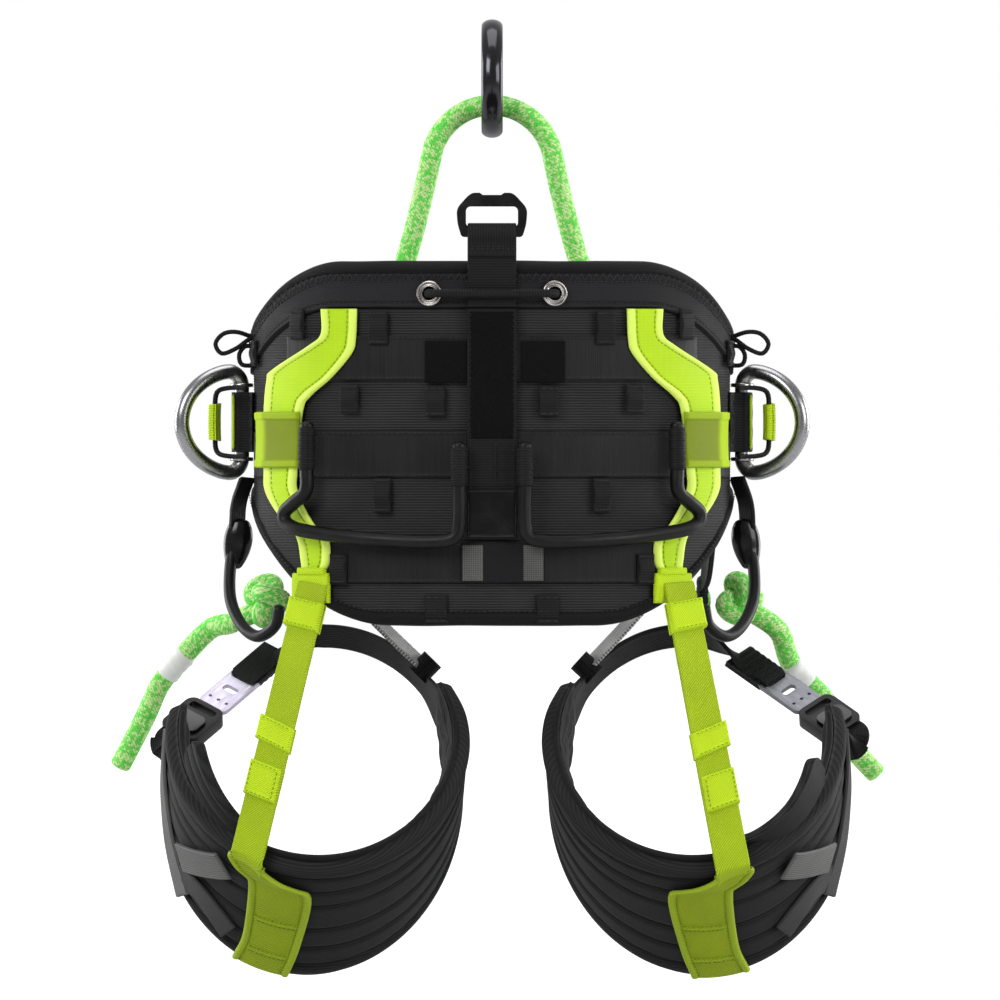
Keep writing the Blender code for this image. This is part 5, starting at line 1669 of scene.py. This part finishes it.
def buckle_way(side, sign):
    """The width direction of webbing on the buckle line, turned to the thigh's axis."""
    way = np.array(buckle_matrix(side, sign, 0.0).to_3x3() @ Vector((0.0, 1.0, 0.0)))
    return way if np.dot(way, leg_axes(sign)[2]) > 0 else -way


def leg_ribbon(name, sign, stations, base, half, thick, shader, relief=None):
    """A strap over a pad through (angle, across) stations."""
    points = [leg_raw(sign, a, v, base) for a, v in stations]
    lifted = [leg_raw(sign, a, v, base + 0.001) for a, v in stations]
    joined = resample(np.concatenate([points, lifted], 1), 0.0010)
    path = joined[:, :3]
    normal = joined[:, 3:] - path
    ways = np.cross(normal, np.gradient(path, axis=0))
    obj = ribbon(name, path, ways, half, thick, shader, relief)
    return obj


def fine_ribs(U, V):
    return 0.0002 * np.sin(pi * U / 0.0018) ** 2


def make_front_strap(side, sign):
    """Webbing from the pad's inner end round the front to the buckle."""
    thigh = leg_axes(sign)[2]
    points = []
    for angle in np.linspace(240.0, 172.0, 10):
        across = -0.0040 - 0.0090 * (235.0 - angle) / 63.0
        points.append([*leg_raw(sign, angle, across, 0.0045), *thigh])
    way = buckle_way(side, sign)
    for share, turn in ((0.88, 0.5), (0.78, 0.85), (0.66, 1.0)):
        points.append([*line_point(side, sign, share), *(thigh + (way - thigh) * turn)])
    joined = resample(points, 0.0012)
    reach = np.arange(len(joined)) * 0.0012
    half = 0.0095 + 0.0060 * (1 - smoothstep(reach, 0.0, 0.026))
    obj = ribbon("thigh_web_" + side, joined[:, :3], joined[:, 3:], half, 0.0024, "black_webbing",
                 lambda U, V: 0.0003 * np.exp(-((0.0095 - np.abs(V)) / 0.0012 - 1.0) ** 2))
    place(obj, "leg_" + side, "black_webbing", "leg_front_strap_" + side)
    layers = (("fold", 0.62, 0.88, 0.0104, 0.0040), ("lap", 0.59, 0.70, 0.0086, 0.0060))
    for name, first, last, width, thick in layers:
        shares = np.linspace(first, last, 40)
        path = np.array([line_point(side, sign, share) for share in shares])
        obj = ribbon(f"thigh_web_{name}_{side}", path, np.repeat([way], 40, 0), width, thick,
                     "black_webbing", lambda U, V: 0.0008 * np.sin(pi * U / 0.0050) ** 2)
        place(obj, "leg_" + side, "black_webbing")


# name, (angle, across) stations, lift off the pad, half width, thickness; the outer web
# stands for the CAD's outer strap
PAD_WEBS = (("outer_web_", ((92.0, 0.012), (82.0, 0.010), (74.0, -0.002), (64.0, -0.018), (52.0, -0.037)),
             0.0022, 0.0085, 0.0018),
            ("pad_loop_web_", ((55.0, -0.008), (45.0, 0.008), (37.0, 0.020), (32.0, 0.0275)),
             0.0030, 0.0095, 0.0018),
            ("pad_cross_web_", ((54.0, -0.024), (44.0, -0.017), (36.0, -0.020), (28.0, -0.028)),
             0.0016, 0.0085, 0.0016))


def make_leg_straps():
    outside = LEG_PAD_THICK + 0.0004
    for side, sign in SIDES.items():
        shaders = ("grey_webbing" if sign < 0 else "dark_grey_webbing", "grey_webbing", "dark_grey_webbing")
        for (name, stations, lift, half, thick), shader in zip(PAD_WEBS, shaders):
            obj = leg_ribbon(name + side, sign, stations, outside + lift, half, thick, shader, fine_ribs)
            nodes = ["leg_outer_strap_" + side] if name == "outer_web_" else []
            place(obj, "leg_" + side, "grey_webbing", *nodes)
        make_front_strap(side, sign)
        make_pad_end(side, sign)
        make_flap(side, sign)


def make_pad_end(side, sign):
    """The webbing that leaves the pad's outer end, and the keeper round it."""
    way = buckle_way(side, sign)
    thigh = leg_axes(sign)[2]
    points = []
    for angle, across, offset in ((80.0, 0.000, 0.0128), (88.0, -0.003, 0.0130), (94.0, -0.006, 0.0125)):
        points.append([*leg_raw(sign, angle, across, offset), *thigh])
    for share in (0.02, 0.06, 0.10):
        points.append([*line_point(side, sign, share), *way])
    joined = resample(points, 0.0012)
    obj = ribbon("pad_end_web_" + side, joined[:, :3], joined[:, 3:], 0.0110, 0.0026, "black_webbing",
                 fine_ribs)
    place(obj, "leg_" + side, "black_webbing")
    part = joined[int(len(joined) * 0.42):int(len(joined) * 0.72)]
    obj = ribbon("pad_end_keeper_" + side, part[:, :3], part[:, 3:], 0.0125, 0.0074, "black_webbing",
                 lambda U, V: 0.0005 * np.sin(pi * U / 0.0050) ** 2)
    place(obj, "leg_" + side, "black_webbing")


FLAP_LIFT = {"left": 0.011, "right": 0.001}


def make_flap(side, sign):
    """A rounded, ridged flap along the pad's upper edge towards its outer end."""
    stations = ((0.00, 0.0540, 0.0035, 1.0), (0.18, 0.0530, 0.0050, 0.95), (0.39, 0.0520, 0.0060, 0.8),
                (0.60, 0.0515, 0.0052, 0.45), (0.82, 0.0495, 0.0020, 0.1), (1.00, 0.0460, -0.0050, 0.0))
    turn = PATCH_ANGLE[side] + 4.0 - 63.0
    path = resample([leg_raw(sign, 63.0 + turn * at, across, offset)
                     + (0.0, 0.0, FLAP_LIFT[side] * lift) for at, across, offset, lift in stations], 0.0010)
    ways = np.repeat([leg_axes(sign)[2] + np.array([-sign * 0.35, 0.0, 0.0])], len(path), 0)
    share = np.linspace(0.0, 1.0, len(path))
    round_end = np.sqrt(1 - (1 - np.clip(share / 0.14, 0, 1)) ** 2)
    half = 0.0095 * (0.35 + 0.65 * round_end) * (1 - 0.45 * share)
    obj = ribbon("pad_flap_" + side, path, ways, half, 0.0056, "pad_cloth",
                 lambda U, V: 0.0014 * np.abs(np.cos(pi * V / 0.0066)) ** 0.7, columns=40)
    place(obj, "leg_" + side, "black_fabric")


def make_leg_buckles():
    for side, sign in SIDES.items():
        housing = rounded_outline(0.0320, 0.0272, 0.0060, (0.0075, 0.0))
        window = rounded_outline(0.0050, 0.0190, 0.0018, (0.0175, 0.0))
        matrix = buckle_matrix(side, sign, HOUSING_SHARE)
        obj = plate("buckle_housing_" + side, [housing, window], 0.0086, matrix, "plastic", 0.0024)
        place(obj, "leg_buckle_" + side, "black_plastic", "leg_buckle_frame_" + side)
        press = rounded_outline(0.0150, 0.0200, 0.0045, (0.0030, 0.0))
        lift = Matrix.Translation((0.0, 0.0, 0.0048))
        obj = plate("buckle_press_bar_" + side, [press], 0.0034, matrix @ lift, "gloss", 0.0012)
        place(obj, "leg_buckle_" + side, "black_plastic")
        tongue = rounded_outline(0.0400, 0.0205, 0.0045, (0.0125, 0.0))
        slot = rounded_outline(0.0070, 0.0150, 0.0026, (0.0255, 0.0))
        hook = rounded_outline(0.0050, 0.0100, 0.0020, (0.0120, 0.0))
        holes = [rounded_outline(0.0020, 0.0020, 0.00095, (0.0005, y), 4) for y in (-0.0062, 0.0, 0.0062)]
        obj = plate("buckle_plate_" + side, [tongue, slot, hook, *holes], 0.0028,
                    buckle_matrix(side, sign, TONGUE_SHARE), "lilac_steel" if sign < 0 else "dark_steel",
                    0.0006)
        place(obj, "leg_tongue_" + side, "polished_aluminium", "leg_buckle_tongue_" + side)


LINK_TOP = {"left": (-0.0880, 0.0660, -0.1010), "right": (0.1000, 0.0660, -0.1010)}


def make_front_links():
    for side, sign in SIDES.items():
        x, y, z = LINK_TOP[side]
        top = np.array([x, CENTRE_Y + y, z])
        low = leg_raw(sign, np.array(224.0), np.array(0.0060), np.array(0.0060))
        path = resample([top + (low - top) * 0.08, (top + low) / 2 + np.array([0, 0, -0.0006]), low], 0.0010)
        ways = np.repeat([[0.0, 0.0080, 0.0040]], len(path), 0)
        obj = ribbon("speckled_link_" + side, path, ways, 0.0085, 0.0020, "speckled",
                     lambda U, V: 0.0002 * np.sin(2 * pi * U / 0.0016) ** 2)
        place(obj, "leg_" + side, "grey_webbing", "front_link_" + side)
        turn = np.linspace(0.0, 2 * pi, 40, endpoint=False)[:, None]
        down = (low - top) / np.linalg.norm(low - top)
        away = np.array([0.0, -1.0, 0.0]) - down * -down[1]
        ring = low + down * 0.0030 + down * 0.0062 * np.sin(turn) + away * 0.0052 * np.cos(turn)
        loop = ribbon("link_end_loop_" + side, np.concatenate([ring, ring[:2]]),
                      np.repeat([np.cross(down, away)], 42, 0), 0.0068, 0.0018, "black_webbing")
        place(loop, "leg_" + side, "black_webbing")


# ---- stage ----
def make_stage():
    """A pale floor, soft light all round, and a long lens straight behind the saddle."""
    bpy.ops.mesh.primitive_plane_add(size=80.0, location=(0.0, 0.0, CAD_BOX[0].z - 0.06))
    floor = bpy.context.object
    floor.name = "floor"
    shader = Shader("floor_paint", 0.9)
    shader.colour((0.62, 0.62, 0.62))
    seen = shader.tree.nodes.new("ShaderNodeLightPath")
    shader.surface.inputs["Emission Color"].default_value = (1.0, 1.0, 1.0, 1.0)
    shader.feed(shader.surface.inputs["Emission Strength"], seen.outputs["Is Camera Ray"])
    floor.data.materials.append(shader.material)
    world = bpy.data.worlds.new("studio")
    bpy.context.scene.world = world
    world.use_nodes = True
    tree = world.node_tree
    background = tree.nodes["Background"]
    geometry = tree.nodes.new("ShaderNodeTexCoord")
    split = tree.nodes.new("ShaderNodeSeparateXYZ")
    tree.links.new(geometry.outputs["Generated"], split.inputs[0])
    level = tree.nodes.new("ShaderNodeMapRange")
    tree.links.new(split.outputs[1], level.inputs[0])
    for k, number in enumerate((-0.9, 0.7, 0.22, 0.62)):
        level.inputs[k + 1].default_value = number
    path = tree.nodes.new("ShaderNodeLightPath")
    choice = tree.nodes.new("ShaderNodeMix")
    tree.links.new(path.outputs["Is Camera Ray"], choice.inputs[0])
    tree.links.new(level.outputs[0], choice.inputs[2])
    choice.inputs[3].default_value = 1.0
    tree.links.new(choice.outputs[0], background.inputs["Strength"])
    background.inputs["Color"].default_value = (1.0, 1.0, 1.0, 1.0)
    area_light("key", (-1.1, -1.5, 1.1), 1.0, 25.0)
    area_light("fill", (1.4, -1.1, 0.5), 1.0, 15.0)
    area_light("top", (0.0, 0.2, 1.6), 1.2, 12.0)
    area_light("left_rim", (-1.3, 0.7, 0.2), 0.8, 13.0)
    area_light("right_rim", (1.3, 0.7, 0.2), 0.8, 13.0)
    bpy.context.scene.view_settings.view_transform = "Standard"
    make_camera()


def area_light(name, location, size, power):
    data = bpy.data.lights.new(name, "AREA")
    data.shape = "SQUARE"
    data.size = size
    data.energy = power
    light = bpy.data.objects.new(name, data)
    light.location = location
    aim = Vector((0.0, CENTRE_Y, -0.03)) - light.location
    light.rotation_euler = aim.to_track_quat("-Z", "Y").to_euler()
    bpy.context.scene.collection.objects.link(light)


def make_camera():
    """Straight behind and level, far off, with a frame 0.6 m wide at the saddle."""
    distance = 16.0
    frame_width = 0.6
    data = bpy.data.cameras.new("camera")
    data.sensor_width = 36.0
    data.lens = data.sensor_width * distance / frame_width
    data.clip_end = 100.0
    camera = bpy.data.objects.new("camera", data)
    camera.location = (0.0048, CENTRE_Y - 0.03 - distance, -0.0468)
    camera.rotation_euler = (radians(90.0), 0.0, 0.0)
    bpy.context.scene.collection.objects.link(camera)
    bpy.context.scene.camera = camera


def main():
    make_stage()
    make_back_pad()
    make_shell()
    make_facing()
    make_rolls()
    make_rows()
    make_tabs()
    make_fuzz_squares()
    make_spine()
    make_strap_loop()
    make_eyelets()
    make_belt_straps()
    make_belt_wraps()
    make_gear_loops()
    make_d_rings()
    make_waist_closure()
    make_bridge()
    make_bridge_ends()
    make_leg_pads()
    make_leg_straps()
    make_leg_buckles()
    make_risers()
    make_front_links()


main()
